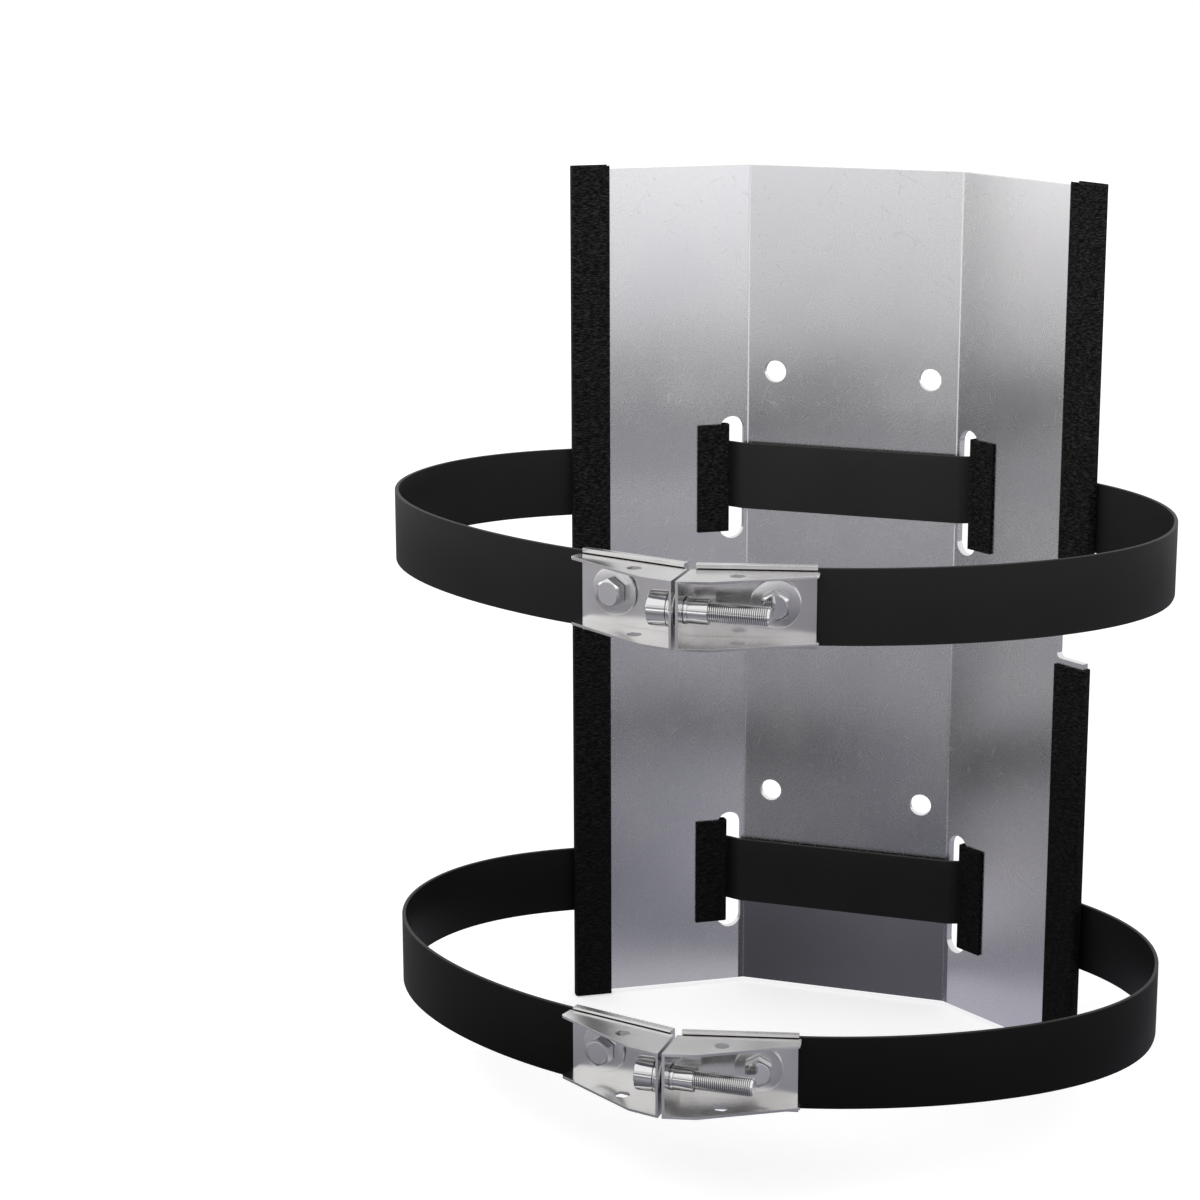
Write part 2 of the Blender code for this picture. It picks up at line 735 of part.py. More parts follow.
def build_clamp_screw(strap, side_name, material):
    """Make a hexagon head with its chamfer and join the shank to it."""
    side = SIDES[side_name]
    head_level, nut_level = clamp_stack()[1:]
    bm = hex_prism(CLAMP_HEAD_FLATS, CLAMP_HEAD_HEIGHT)
    screw = add_object(f"clamp_screw_{strap}_{side_name}", bm, material)
    flat = CLAMP_CROWN_DIAMETER / 2
    wide = CLAMP_HEAD_FLATS
    low = CLAMP_HEAD_HEIGHT - (wide - flat) * CLAMP_CROWN_SLOPE
    crown = turned(
        "head_crown",
        [(0, CLAMP_HEAD_HEIGHT), (flat, CLAMP_HEAD_HEIGHT), (wide, low),
         (wide, -CLEARANCE), (0, -CLEARANCE)],
        material,
    )
    tip = nut_level - CLAMP_NUT_HEIGHT - head_level
    radius = CLAMP_SHANK / 2
    shank = turned(
        "shank",
        [(0, CLAMP_HEAD_HEIGHT / 2), (radius, CLAMP_HEAD_HEIGHT / 2),
         (radius, tip + CLAMP_CHAMFER), (radius - CLAMP_CHAMFER, tip), (0, tip)],
        material,
        steps=SHANK_STEPS,
    )
    for helper, operation in ((crown, "INTERSECT"), (shank, "UNION")):
        as_helper(helper)
        place_on_half(helper, strap, side, CLAMP_REACH, head_level)
        cut(screw, helper, operation)
    return place_on_half(screw, strap, side, CLAMP_REACH, head_level)


def as_helper(thing):
    """Move a turned shape in with the cutters."""
    bpy.data.collections[PARTS].objects.unlink(thing)
    bpy.data.collections[CUTTERS].objects.link(thing)
    thing.hide_render = True
    thing.display_type = "WIRE"


def build_clamp_hardware(strap, side_name, material):
    """Make the large washer in front of a clasp half and the nut behind it."""
    side = SIDES[side_name]
    washer_level, head_level, nut_level = clamp_stack()
    bore = CLAMP_SHANK + 2 * BORE_CLEARANCE
    washer = ring(
        f"clamp_washer_{strap}_{side_name}", CLAMP_WASHER_DIAMETER, bore,
        CLAMP_WASHER_THICKNESS, material, WASHER_RIM,
    )
    place_on_half(washer, strap, side, CLAMP_REACH, washer_level)
    nut = ring(
        f"clamp_nut_{strap}_{side_name}", CLAMP_NUT_DIAMETER, bore,
        CLAMP_NUT_HEIGHT, material, NUT_RIM,
    )
    place_on_half(nut, strap, side, CLAMP_REACH, nut_level - CLAMP_NUT_HEIGHT)


def place_on_screw(thing, strap, reach, heading=1):
    """Lay an object's Z axis along the tension screw, at a reach from the gap."""
    origin = clasp_origin(strap)
    thing.location = (origin.x + reach, origin.y - screw_rise(), STRAP_LEVELS[strap])
    thing.rotation_euler.y = heading * pi / 2
    return thing


def screw_stack():
    """Return the reaches of both washers and of the head's underside."""
    flat = -(CLASP_GAP / 2 + CLASP_SHEET + CLEARANCE)
    spring = flat - FLAT_WASHER_THICKNESS - CLEARANCE
    head = spring - SPRING_WASHER_THICKNESS - CLEARANCE
    return flat, spring, head


def build_tension_washers(strap, material):
    """Make the flat washer and the spring washer under the screw's head."""
    flat, spring, _ = screw_stack()
    bore = SCREW_DIAMETER + 2 * BORE_CLEARANCE
    washer = ring(
        f"tension_washer_{strap}", FLAT_WASHER_DIAMETER, bore,
        FLAT_WASHER_THICKNESS, material, WASHER_RIM,
    )
    place_on_screw(washer, strap, flat - FLAT_WASHER_THICKNESS)
    washer = ring(
        f"spring_washer_{strap}", SPRING_WASHER_DIAMETER, bore,
        SPRING_WASHER_THICKNESS, material, WASHER_RIM,
    )
    place_on_screw(washer, strap, spring - SPRING_WASHER_THICKNESS)


def build_tension_screw(strap, material):
    """Turn the socket screw, with its head at the object's own origin."""
    head = screw_stack()[2]
    shank = SCREW_DIAMETER / 2
    top = SCREW_HEAD_DIAMETER / 2
    bevel = SCREW_CHAMFER
    profile = [
        (0, SCREW_HEAD_HEIGHT),
        (top - bevel, SCREW_HEAD_HEIGHT),
        (top, SCREW_HEAD_HEIGHT - bevel),
        (top, 0),
        (shank, 0),
        (shank, bevel - SCREW_LENGTH),
        (shank - bevel, -SCREW_LENGTH),
        (0, -SCREW_LENGTH),
    ]
    screw = turned(f"tension_screw_{strap}", profile, material)
    place_on_screw(screw, strap, head, heading=-1)
    bm = hex_prism(SCREW_SOCKET_FLATS, SCREW_SOCKET_DEPTH + CUT_MARGIN)
    socket = add_cutter("screw_socket", bm)
    reach = head - SCREW_HEAD_HEIGHT + SCREW_SOCKET_DEPTH
    cut(screw, place_on_screw(socket, strap, reach, heading=-1))
    return screw


def build_sleeve(strap, material):
    """Turn the threaded sleeve that is set in the right end plate."""
    bore = SCREW_DIAMETER / 2 + BORE_CLEARANCE
    gap_face = CLASP_GAP / 2 - CLEARANCE
    inner_face = CLASP_GAP / 2 + CLASP_SHEET + CLEARANCE
    body = SLEEVE_DIAMETER / 2
    flange = SLEEVE_FLANGE_DIAMETER / 2
    bulge = SLEEVE_BULGE_DIAMETER / 2
    end = inner_face + SLEEVE_LENGTH
    profile = [
        (bore, end),
        (body - SLEEVE_RIM, end),
        (body, end - SLEEVE_RIM),
        (body, inner_face + SLEEVE_BULGE_LENGTH),
        (bulge, inner_face + SLEEVE_BULGE_LENGTH / 2),
        (bulge, inner_face),
        (body, inner_face),
        (body, gap_face),
        (flange, gap_face),
        (flange, gap_face - SLEEVE_FLANGE_THICKNESS),
        (bore, gap_face - SLEEVE_FLANGE_THICKNESS),
    ]
    sleeve = turned(f"sleeve_nut_{strap}", profile, material, closed=True)
    return place_on_screw(sleeve, strap, 0)


def build_clasp(strap, bright, polished):
    """Build one strap's clasp with both of its screws."""
    for side_name in SIDES:
        build_clasp_half(strap, side_name, bright)
        build_tray(strap, side_name, bright)
        build_clamp_screw(strap, side_name, polished)
        build_clamp_hardware(strap, side_name, polished)
    build_tension_washers(strap, polished)
    build_tension_screw(strap, polished)
    build_sleeve(strap, polished)


def main():
    """Build the whole bracket."""
    clear_scene()
    make_collections()
    steel = make_material("satin_steel", (0.42, 0.42, 0.44), 0.38, 1.0)
    rubber = make_material("black_rubber", (0.008, 0.008, 0.008), 0.75, 0.0)
    coated = make_material("coated_strap", (0.012, 0.012, 0.012), 0.55, 0.0)
    bright = make_material("bright_steel", (0.62, 0.62, 0.62), 0.22, 1.0)
    polished = make_material("polished_steel", (0.66, 0.66, 0.66), 0.12, 1.0)
    build_wall_plate(steel)
    build_edge_trims(rubber)
    build_slot_trims(rubber)
    for strap in SLOT_LEVELS:
        build_strap(strap, coated)
        build_clasp(strap, bright, polished)


if __name__ == "__main__":
    main()
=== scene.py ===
"""Dressed gas cylinder bracket: a folded wall plate and two clasped straps.

Everything is in metres, with X along the wall, +Y into the wall and +Z up.
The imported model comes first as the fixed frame, and each piece that follows
stands in the place of the node it replaces.
"""

import logging
from dataclasses import dataclass
from enum import Enum
from math import cos, pi, radians, sin
from typing import Any, Callable, Sequence

import bmesh
import bpy
import numpy as np
from bpy.types import Material, Mesh, NodeSocket, NodeTree, Object
from mathutils import Matrix, Vector


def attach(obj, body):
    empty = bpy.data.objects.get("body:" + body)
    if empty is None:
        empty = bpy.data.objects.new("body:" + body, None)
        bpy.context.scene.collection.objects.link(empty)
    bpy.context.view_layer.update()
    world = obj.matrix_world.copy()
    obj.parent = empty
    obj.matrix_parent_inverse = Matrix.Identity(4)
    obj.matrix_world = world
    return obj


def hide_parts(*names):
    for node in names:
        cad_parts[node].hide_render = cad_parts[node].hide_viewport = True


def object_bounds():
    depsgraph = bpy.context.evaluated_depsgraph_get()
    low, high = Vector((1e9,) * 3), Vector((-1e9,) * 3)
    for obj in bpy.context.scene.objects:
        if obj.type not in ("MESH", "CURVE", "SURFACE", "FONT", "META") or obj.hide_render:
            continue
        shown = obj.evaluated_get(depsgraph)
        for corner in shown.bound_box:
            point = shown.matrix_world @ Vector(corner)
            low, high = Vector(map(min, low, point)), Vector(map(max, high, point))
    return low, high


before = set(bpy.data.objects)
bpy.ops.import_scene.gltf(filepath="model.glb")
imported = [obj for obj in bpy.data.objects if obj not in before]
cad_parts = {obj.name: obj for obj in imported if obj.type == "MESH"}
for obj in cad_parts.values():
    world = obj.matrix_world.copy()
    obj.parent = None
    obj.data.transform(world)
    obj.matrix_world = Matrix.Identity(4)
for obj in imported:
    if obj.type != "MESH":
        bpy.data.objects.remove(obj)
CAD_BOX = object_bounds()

Points = np.ndarray
Pair = tuple[float, float]
Triple = tuple[float, float, float]
Colour = tuple[float, float, float, float]
Stops = Sequence[tuple[float, Sequence[float]]]

LOG = logging.getLogger("bracket")
MM = 0.001
WELD = 1e-7
SHARP = 35.0
GAP = 0.3 * MM
CLASP_SHEET = 1 * MM
SCREW_COLUMNS = 72
RING_COLUMNS = 96
# The attribute with each vertex's depth in the thread, which the turned steel darkens as painted
# shade.
GROOVE = "groove"


class Slot(Enum):
    """The material slots."""

    STEEL = "steel"
    RUBBER = "rubber"
    STRAP_COAT = "strap_coat"
    CLASP_STEEL = "clasp_steel"
    FASTENER_STEEL = "fastener_steel"


class Level(Enum):
    """The two straps."""

    UPPER = "upper"
    LOWER = "lower"


class Side(Enum):
    """The two sides, with the sign of X on each."""

    LEFT = -1
    RIGHT = 1

    @property
    def word(self) -> str:
        """Return the side's word in a node's name."""
        return self.name.lower()


# Shader graph


def operator(operation: str, swapped: bool = False) -> Callable[..., "Wire"]:
    """Return a method that puts one value or two through one Math node."""
    def method(self: "Wire", *others: Any) -> "Wire":
        """Return the node's result."""
        values = (*others, self) if swapped else (self, *others)
        return self.graph.add("ShaderNodeMath", {"operation": operation}, dict(enumerate(values)))
    return method


@dataclass
class Wire:
    """A shader socket that takes part in arithmetic."""

    graph: "Graph"
    socket: NodeSocket

    __add__ = __radd__ = operator("ADD")
    __mul__ = __rmul__ = operator("MULTIPLY")
    __sub__ = operator("SUBTRACT")
    __rsub__ = operator("SUBTRACT", swapped=True)
    __truediv__ = operator("DIVIDE")
    __abs__ = operator("ABSOLUTE")
    root = operator("SQRT")
    larger = operator("MAXIMUM")
    angle_to = operator("ARCTAN2")

    def step(self, low: float, high: float) -> "Wire":
        """Return a smooth step from 0 at low to 1 at high."""
        return self.graph.add("ShaderNodeMapRange", {"interpolation_type": "SMOOTHSTEP"},
                              {"Value": self, "From Min": low, "From Max": high})


class Graph:
    """One node tree under construction."""

    def __init__(self, tree: NodeTree) -> None:
        """Keep the tree."""
        self.tree = tree

    def add(
        self, kind: str, settings: dict[str, Any], inputs: dict[Any, Any], output: Any = 0
    ) -> Wire:
        """Add any node.

        Args:
            kind: the node's type.
            settings: its properties, set first.
            inputs: a value or a Wire for each socket, by name or number.
            output: the name or number of the socket to return.

        Returns:
            The chosen output as a Wire.
        """
        node = self.tree.nodes.new(kind)
        for key, value in settings.items():
            setattr(node, key, value)
        for key, value in inputs.items():
            if isinstance(value, Wire):
                self.tree.links.new(value.socket, node.inputs[key])
            else:
                node.inputs[key].default_value = value
        return Wire(self, node.outputs[output])

    def close(self, surface: Wire, kind: str = "ShaderNodeOutputMaterial") -> None:
        """End the tree with its output node."""
        output = self.tree.nodes.new(kind)
        self.tree.links.new(surface.socket, output.inputs["Surface"])

    def objects_place(self) -> Wire:
        """Return the Object coordinates."""
        return self.add("ShaderNodeTexCoord", {}, {}, "Object")

    def parts(self, vector: Wire) -> list[Wire]:
        """Split a vector into its three numbers."""
        split = self.add("ShaderNodeSeparateXYZ", {}, {0: vector})
        return [Wire(self, socket) for socket in split.socket.node.outputs]

    def scaled(self, vector: Any, factor: Any) -> Wire:
        """Multiply a vector by one number."""
        return self.add("ShaderNodeVectorMath", {"operation": "SCALE"},
                        {0: vector, "Scale": factor})

    def stretched(
        self, vector: Wire, scale: Sequence[float], turn: Sequence[float] = (0, 0, 0)
    ) -> Wire:
        """Turn a vector and then scale it along each axis."""
        turned = self.add("ShaderNodeMapping", {"vector_type": "POINT"},
                          {"Vector": vector, "Rotation": tuple(turn)})
        return self.add("ShaderNodeVectorMath", {"operation": "MULTIPLY"},
                        {0: turned, 1: tuple(scale)})

    def noise(self, vector: Wire, scale: float, detail: float = 2.0, rough: float = 0.5) -> Wire:
        """Return a noise between 0 and 1."""
        return self.add("ShaderNodeTexNoise", {}, {
            "Vector": vector, "Scale": scale, "Detail": detail, "Roughness": rough})

    def blend(self, factor: Any, low: Any, high: Any) -> Wire:
        """Mix two colours."""
        return self.add("ShaderNodeMix", {"data_type": "RGBA"}, {0: factor, 6: low, 7: high}, 2)

    def bump(self, height: Wire, strength: float, distance: float) -> Wire:
        """Return a normal bumped by a height."""
        return self.add("ShaderNodeBump", {}, {
            "Height": height, "Strength": strength, "Distance": distance})

    def ramp(self, place: Wire, stops: Stops) -> Wire:
        """Return a colour from a ramp with (place, colour) stops."""
        colours = self.add("ShaderNodeValToRGB", {}, {0: place})
        elements = colours.socket.node.color_ramp.elements
        while len(elements) < len(stops):
            elements.new(1.0)
        for element, (spot, colour) in zip(elements, stops):
            element.position = spot
            element.color = (*colour, 1.0)
        return colours

    def glow(self, colour: Any, strength: Any) -> Wire:
        """Return an emission shader."""
        return self.add("ShaderNodeEmission", {}, {"Color": colour, "Strength": strength})


def grey(value: float, warmth: float = 0.0) -> Colour:
    """Return a grey, a little warm or, below zero, a little cool."""
    return (value * (1 + warmth), value, value * (1 - warmth), 1.0)


@dataclass(frozen=True)
class Finish:
    """What every finish shares: a name and a Principled shader."""

    name: str
    metallic: float = 1.0
    specular: float = 0.5

    def paint(self, graph: Graph, place: Wire) -> dict[str, Wire]:
        """Return wires by the names of the sockets that vary with the Object coordinates."""
        raise NotImplementedError

    def make(self) -> Material:
        """Return the material."""
        material = bpy.data.materials.new(self.name)
        material.use_nodes = True
        graph = Graph(material.node_tree)
        sockets = material.node_tree.nodes["Principled BSDF"].inputs
        sockets["Metallic"].default_value = self.metallic
        sockets["Specular IOR Level"].default_value = self.specular
        for key, wire in self.paint(graph, graph.objects_place()).items():
            graph.tree.links.new(wire.socket, sockets[key])
        return material


@dataclass(frozen=True)
class SatinSheet(Finish):
    """Rolled sheet with a fine grain, thin scratches that cross each other, and painted highlight
    lines along its two folds.
    """

    tone: float = 0.76
    roughness: float = 0.25
    roughness_spread: float = 0.10
    grain_scale: float = 2600
    cloud_scale: float = 16
    scratch_turns: tuple[float, ...] = (24, 68, 105, 151)
    scratch_scale: Triple = (22, 22, 330)
    scratch_width: float = 0.012
    scratch_tone: float = 0.95
    patch_scale: float = 95
    patch_step: float = 13
    patch_levels: Pair = (0.50, 0.62)
    # The painted highlight along each fold: where it lies, its half width, the levels over which
    # it fades, what is left at the foot, and its tone.
    fold: float = 44 * MM
    fold_half: float = 0.32 * MM
    fold_highlight_levels: Pair = (-40 * MM, 60 * MM)
    fold_highlight_foot: float = 0.1
    fold_highlight_tone: float = 0.92

    def scratches(self, graph: Graph, place: Wire) -> Wire:
        """Return a mask of thin lines.

        Each family of lines is where a long stretched noise passes its middle
        value, and a patchy noise breaks the lines into short lengths.
        """
        mask: Any = 0.0
        across, along, fine = self.scratch_scale
        for number, turn in enumerate(self.scratch_turns):
            lane = graph.stretched(place, (across, along + number, fine), (0, radians(turn), 0))
            line = 1 - abs(graph.noise(lane, 1.0, 0.0) - 0.5).step(0.0, self.scratch_width)
            patch = graph.noise(place, self.patch_scale + number * self.patch_step, 1.0)
            mask = line * patch.step(*self.patch_levels) + mask
        return mask

    def paint(self, graph: Graph, place: Wire) -> dict[str, Wire]:
        """Return the wires, with painted highlight lines along the plate's two folds, which fade
        towards its foot.
        """
        grain = graph.noise(place, self.grain_scale, 1.0)
        cloud = graph.noise(place, self.cloud_scale, 3.0, 0.6)
        lines = self.scratches(graph, place)
        tone = graph.blend(cloud.step(0.3, 0.7), grey(self.tone * 0.97, -0.012),
                           grey(self.tone * 1.03))
        x, _, z = graph.parts(place)
        # Painted highlight: a light grey, not metal, along each fold, fading towards the foot.
        fold_highlight = 1 - abs(abs(x) - self.fold).step(self.fold_half * 0.5, self.fold_half)
        fold_highlight = fold_highlight * (z.step(*self.fold_highlight_levels) * (1 - self.fold_highlight_foot) + self.fold_highlight_foot)
        scratched = graph.blend(lines * 0.03, tone, grey(self.scratch_tone))
        roughness = self.roughness + (cloud + grain - 1) * self.roughness_spread
        return {
            "Base Color": graph.blend(fold_highlight, scratched, grey(self.fold_highlight_tone)),
            "Roughness": roughness + lines * 0.04,
            "Metallic": 1 - fold_highlight,
            "Normal": graph.bump(grain * 0.4 + lines * 0.07, 0.06, 0.05 * MM),
        }


@dataclass(frozen=True)
class FibrousRubber(Finish):
    """Black edging with fine fibres that run across its length."""

    metallic: float = 0.0
    specular: float = 0.10
    dark: float = 0.0015
    light: float = 0.042
    fibre_levels: Pair = (0.42, 0.70)
    fibre_scale: Triple = (520, 520, 3000)
    weave_scale: Triple = (900, 900, 1500)
    weave_turn: float = 0.2
    # Painted shade towards the foot: the share of the tone left there, and the levels over which
    # it fades.
    foot_shade_share: float = 0.26
    foot_shade_levels: Pair = (-0.18, 0.18)

    def paint(self, graph: Graph, place: Wire) -> dict[str, Wire]:
        """Return the wires, with painted shade that makes them darker towards the bracket's foot.
        """
        fibre = graph.noise(graph.stretched(place, self.fibre_scale), 1.0, 3.0, 0.6)
        weave = graph.stretched(place, self.weave_scale, (0, self.weave_turn, 0))
        height = fibre * 0.8 + graph.noise(weave, 1.0) * 0.2
        fibres = graph.blend(height.step(*self.fibre_levels), grey(self.dark), grey(self.light))
        # Painted shade: the fibres' colour darkens towards the bracket's foot.
        level = graph.parts(place)[2].step(*self.foot_shade_levels)
        return {
            "Base Color": graph.scaled(fibres, level * (1 - self.foot_shade_share) + self.foot_shade_share),
            "Roughness": 0.70 + fibre * 0.2,
            "Normal": graph.bump(height, 0.75, 0.25 * MM),
        }


@dataclass(frozen=True)
class CoatedBand(Finish):
    """Smooth matt black coat, with a painted highlight along both rims and painted light where it
    lies on the web.
    """

    metallic: float = 0.0
    specular: float = 0.10
    middle: float = 0.0
    slope: float = 0.0
    half_height: float = 13.85 * MM
    # The painted highlight along both rims: its width and its tone.
    rim_highlight_width: float = 0.45 * MM
    rim_highlight_tone: float = 0.035
    tone: float = 0.0125
    # How much paler the coat is along the web, as painted light, and from which depth.
    web_light_gain: float = 1.0
    web_depth: float = 6 * MM

    def paint(self, graph: Graph, place: Wire) -> dict[str, Wire]:
        """Return the wires."""
        _, y, z = graph.parts(place)
        # Painted highlight: lighter along both rims, which follow the strap's droop.
        edge = abs(z - y * self.slope - self.middle)
        edge = edge.step(self.half_height - self.rim_highlight_width, self.half_height)
        cloud = graph.noise(place, 30)
        peel = graph.noise(place, 1500)
        # Painted light: paler where the strap lies along the web.
        web_painted_light = graph.blend((-1 * y).step(self.web_depth, self.web_depth * 2),
                             grey(self.tone * self.web_light_gain), grey(self.tone))
        body = graph.scaled(web_painted_light, cloud * 0.3 + 0.85)
        return {
            "Base Color": graph.blend(edge, body, grey(self.rim_highlight_tone)),
            "Roughness": 0.46 + (cloud - 0.5) * 0.12 + (peel - 0.5) * 0.06,
            "Normal": graph.bump(peel, 0.05, 0.05 * MM),
        }


@dataclass(frozen=True)
class BrightSheet(Finish):
    """Polished sheet with a faint brushed line along the piece."""

    tone: float = 0.79
    roughness: float = 0.20
    brush_scale: Triple = (40, 300, 2400)

    def paint(self, graph: Graph, place: Wire) -> dict[str, Wire]:
        """Return the wires."""
        brushed = graph.noise(graph.stretched(place, self.brush_scale), 1.0)
        cloud = graph.noise(place, 60)
        return {
            "Base Color": graph.blend(cloud.step(0.3, 0.7), grey(self.tone * 0.95, 0.012),
                                      grey(self.tone * 1.04, 0.004)),
            "Roughness": self.roughness + (brushed + cloud - 1) * 0.05,
            "Normal": graph.bump(brushed, 0.03, 0.03 * MM),
        }


@dataclass(frozen=True)
class TurnedSteel(Finish):
    """Bright turned steel with very fine marks, with painted shade where the groove attribute is
    high.
    """

    tone: float = 0.80
    roughness: float = 0.085
    groove_shade_tone: float = 0.45

    def paint(self, graph: Graph, place: Wire) -> dict[str, Wire]:
        """Return the wires."""
        fine = graph.noise(place, 900)
        bright = graph.blend(graph.noise(place, 140), grey(self.tone * 0.95),
                             grey(self.tone * 1.04))
        # Painted shade in the thread's grooves.
        groove = graph.add("ShaderNodeAttribute", {"attribute_name": GROOVE}, {}, "Fac")
        return {
            "Base Color": graph.blend(groove, bright, grey(self.groove_shade_tone)),
            "Roughness": self.roughness + (fine - 0.5) * 0.05,
            "Normal": graph.bump(fine, 0.02, 0.02 * MM),
        }


# Surfaces


def finish_mesh(mesh: Mesh, sharp: float) -> Mesh:
    """Weld a mesh in place, point its faces outwards and smooth it.

    Edges with an angle above sharp, in degrees, stay sharp.
    """
    bm = bmesh.new()
    bm.from_mesh(mesh)
    bmesh.ops.remove_doubles(bm, verts=bm.verts, dist=WELD)
    bmesh.ops.recalc_face_normals(bm, faces=bm.faces)
    bm.to_mesh(mesh)
    bm.free()
    mesh.shade_smooth()
    mesh.set_sharp_from_angle(angle=radians(sharp))
    return mesh


def grid_mesh(
    name: str, points: Points, wrap_rows: bool = False, ladder_ends: bool = False,
    sharp: float = SHARP,
) -> Mesh:
    """Join a grid of points, closed along each row, into a surface.

    Args:
        name: the mesh's name.
        points: the places, shaped rows x loop x 3.
        wrap_rows: whether the last row joins the first.
        ladder_ends: whether the first and last rows are closed by a ladder of
            quads, from point i to its mirror point on the same row.
        sharp: the angle above which an edge stays sharp.

    Returns:
        The welded mesh.
    """
    rows, loop = points.shape[:2]
    index = np.arange(rows * loop).reshape(rows, loop)
    low, high = (index, np.roll(index, -1, 0)) if wrap_rows else (index[:-1], index[1:])
    quads = np.stack([low, np.roll(low, -1, 1), np.roll(high, -1, 1), high], -1)
    faces = [quads.reshape(-1, 4)]
    if ladder_ends:
        near, far, half = index[[0, -1]], index[[0, -1], ::-1], loop // 2
        rungs = [near[:, :half - 1], near[:, 1:half], far[:, 1:half], far[:, :half - 1]]
        faces.append(np.stack(rungs, -1).reshape(-1, 4))
    mesh = bpy.data.meshes.new(name)
    mesh.from_pydata(points.reshape(-1, 3).tolist(), [], np.concatenate(faces).tolist())
    return finish_mesh(mesh, sharp)


def unit(vectors: Points) -> Points:
    """Return a vector, or each row of vectors, at length 1."""
    return vectors / np.linalg.norm(vectors, axis=-1, keepdims=True)


def revolve(rows: Sequence[Sequence[Any]], columns: int) -> Points:
    """Carry a profile round the Z axis.

    A point is (r cos a, r sin a, h), where r and h come from the profile and
    may change with the angle a.

    Args:
        rows: a (radius, height) pair a row, each one number or one a column.
        columns: how many points go round.

    Returns:
        Points shaped rows x columns x 3.
    """
    angle = np.arange(columns) * 2 * pi / columns
    radii, heights = (
        np.array([np.broadcast_to(row[part], columns) for row in rows]) for part in range(2)
    )
    return np.stack([radii * np.cos(angle), radii * np.sin(angle), heights], -1)


@dataclass(frozen=True)
class Ring:
    """A flat ring with rounded outer rims: its width, thickness and rims' radius."""

    width: float
    thickness: float
    rim: float

    def surface(self, bore: float) -> Points:
        """Return its surface round a hole of that radius."""
        out, tall, rim, turn = self.width / 2, self.thickness, self.rim, np.linspace(0, pi / 2, 5)
        high = np.stack([out - rim + rim * np.sin(turn), tall - rim + rim * np.cos(turn)], -1)
        low = np.stack([high[::-1, 0], tall - high[::-1, 1]], -1)
        return revolve(np.concatenate([[(bore, 0), (bore, tall)], high, low]), RING_COLUMNS)


def placed(points: Points, origin: Sequence[float], axis: Sequence[float]) -> Points:
    """Lay points whose axis is Z along another axis, with their X upright."""
    along = unit(np.array(axis, float))
    up = np.array((0.0, 0.0, 1.0))
    return points @ np.stack([up, np.cross(up, along), along]) + np.array(origin)


def hexagon(flats: float) -> Points:
    """Return a hexagon's radius at each angle, with a corner on the X axis.

    The radius is the half width over flats divided by the cosine of the
    angle from the nearest flat's middle.
    """
    angle = np.arange(SCREW_COLUMNS) * 2 * pi / SCREW_COLUMNS
    return flats / 2 / np.cos((angle % (pi / 3)) - pi / 6)


def rounded_path(corners: Points, radius: float, steps: int = 8) -> Points:
    """Replace the inner corners of a plan path by arcs.

    An arc touches both sides at radius / tan(half the corner's angle), and
    its points turn about the centre on the bisector.
    """
    pieces = [corners[:1]]
    for before, corner, after in zip(corners, corners[1:], corners[2:]):
        back, ahead = unit(before - corner), unit(after - corner)
        half = np.arccos(np.clip(back @ ahead, -1, 1)) / 2
        centre = corner + unit(back + ahead) * radius / np.sin(half)
        start = corner + back * radius / np.tan(half) - centre
        sweep = np.sign(back[0] * ahead[1] - back[1] * ahead[0]) * -(pi - 2 * half)
        turn = np.linspace(0, 1, steps + 1) * sweep
        arc = np.stack([
            start[0] * np.cos(turn) - start[1] * np.sin(turn),
            start[0] * np.sin(turn) + start[1] * np.cos(turn),
        ], -1)
        pieces.append(centre + arc)
    return np.concatenate(pieces + [corners[-1:]])


def bezier(points: Sequence[Points], steps: int) -> Points:
    """Return a cubic Bezier curve's points after its start.

    They are the sum of the four points weighted by (1-t)^3, 3t(1-t)^2,
    3t^2(1-t) and t^3.
    """
    t = np.linspace(0, 1, steps + 1)[1:, None]
    weights = [(1 - t) ** 3, 3 * t * (1 - t) ** 2, 3 * t * t * (1 - t), t ** 3]
    return sum(weight * point for weight, point in zip(weights, points))


def normals(path: Points) -> Points:
    """Return the unit normals on the left of a plan path."""
    along = unit(np.gradient(path, axis=0))
    return np.stack([-along[:, 1], along[:, 0]], -1)


def eased_copy(node: str, name: str, width: float) -> Mesh:
    """Copy a node's mesh, weld its triangles and ease its sharp edges to a width."""
    bm = bmesh.new()
    bm.from_mesh(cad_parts[node].data)
    bmesh.ops.remove_doubles(bm, verts=bm.verts, dist=WELD * 10)
    bmesh.ops.dissolve_limit(bm, angle_limit=radians(0.5), verts=bm.verts, edges=bm.edges,
                             delimit=set())
    edges = [
        edge for edge in bm.edges
        if len(edge.link_faces) == 2 and edge.calc_face_angle() > radians(SHARP)
    ]
    bmesh.ops.bevel(bm, geom=edges, offset=width, offset_type="OFFSET", segments=2, profile=0.5,
                    affect="EDGES", clamp_overlap=True)
    mesh = bpy.data.meshes.new(name)
    bm.to_mesh(mesh)
    bm.free()
    return finish_mesh(mesh, 50)


def add_object(name: str, data: Any) -> Object:
    """Link a new object to the scene."""
    thing = bpy.data.objects.new(name, data)
    bpy.context.scene.collection.objects.link(thing)
    return thing


def publish(mesh: Mesh, material: Material, slot: Slot, body: str, *nodes: str) -> Object:
    """Put a finished mesh in the scene in place of its nodes.

    It rides on the body that it moves with.
    """
    mesh.materials.clear()
    mesh.materials.append(material)
    thing = add_object(mesh.name, mesh)
    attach(thing, body)
    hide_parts(*nodes)
    LOG.info("%s: %d faces on %s", thing.name, len(mesh.polygons), body)
    return thing


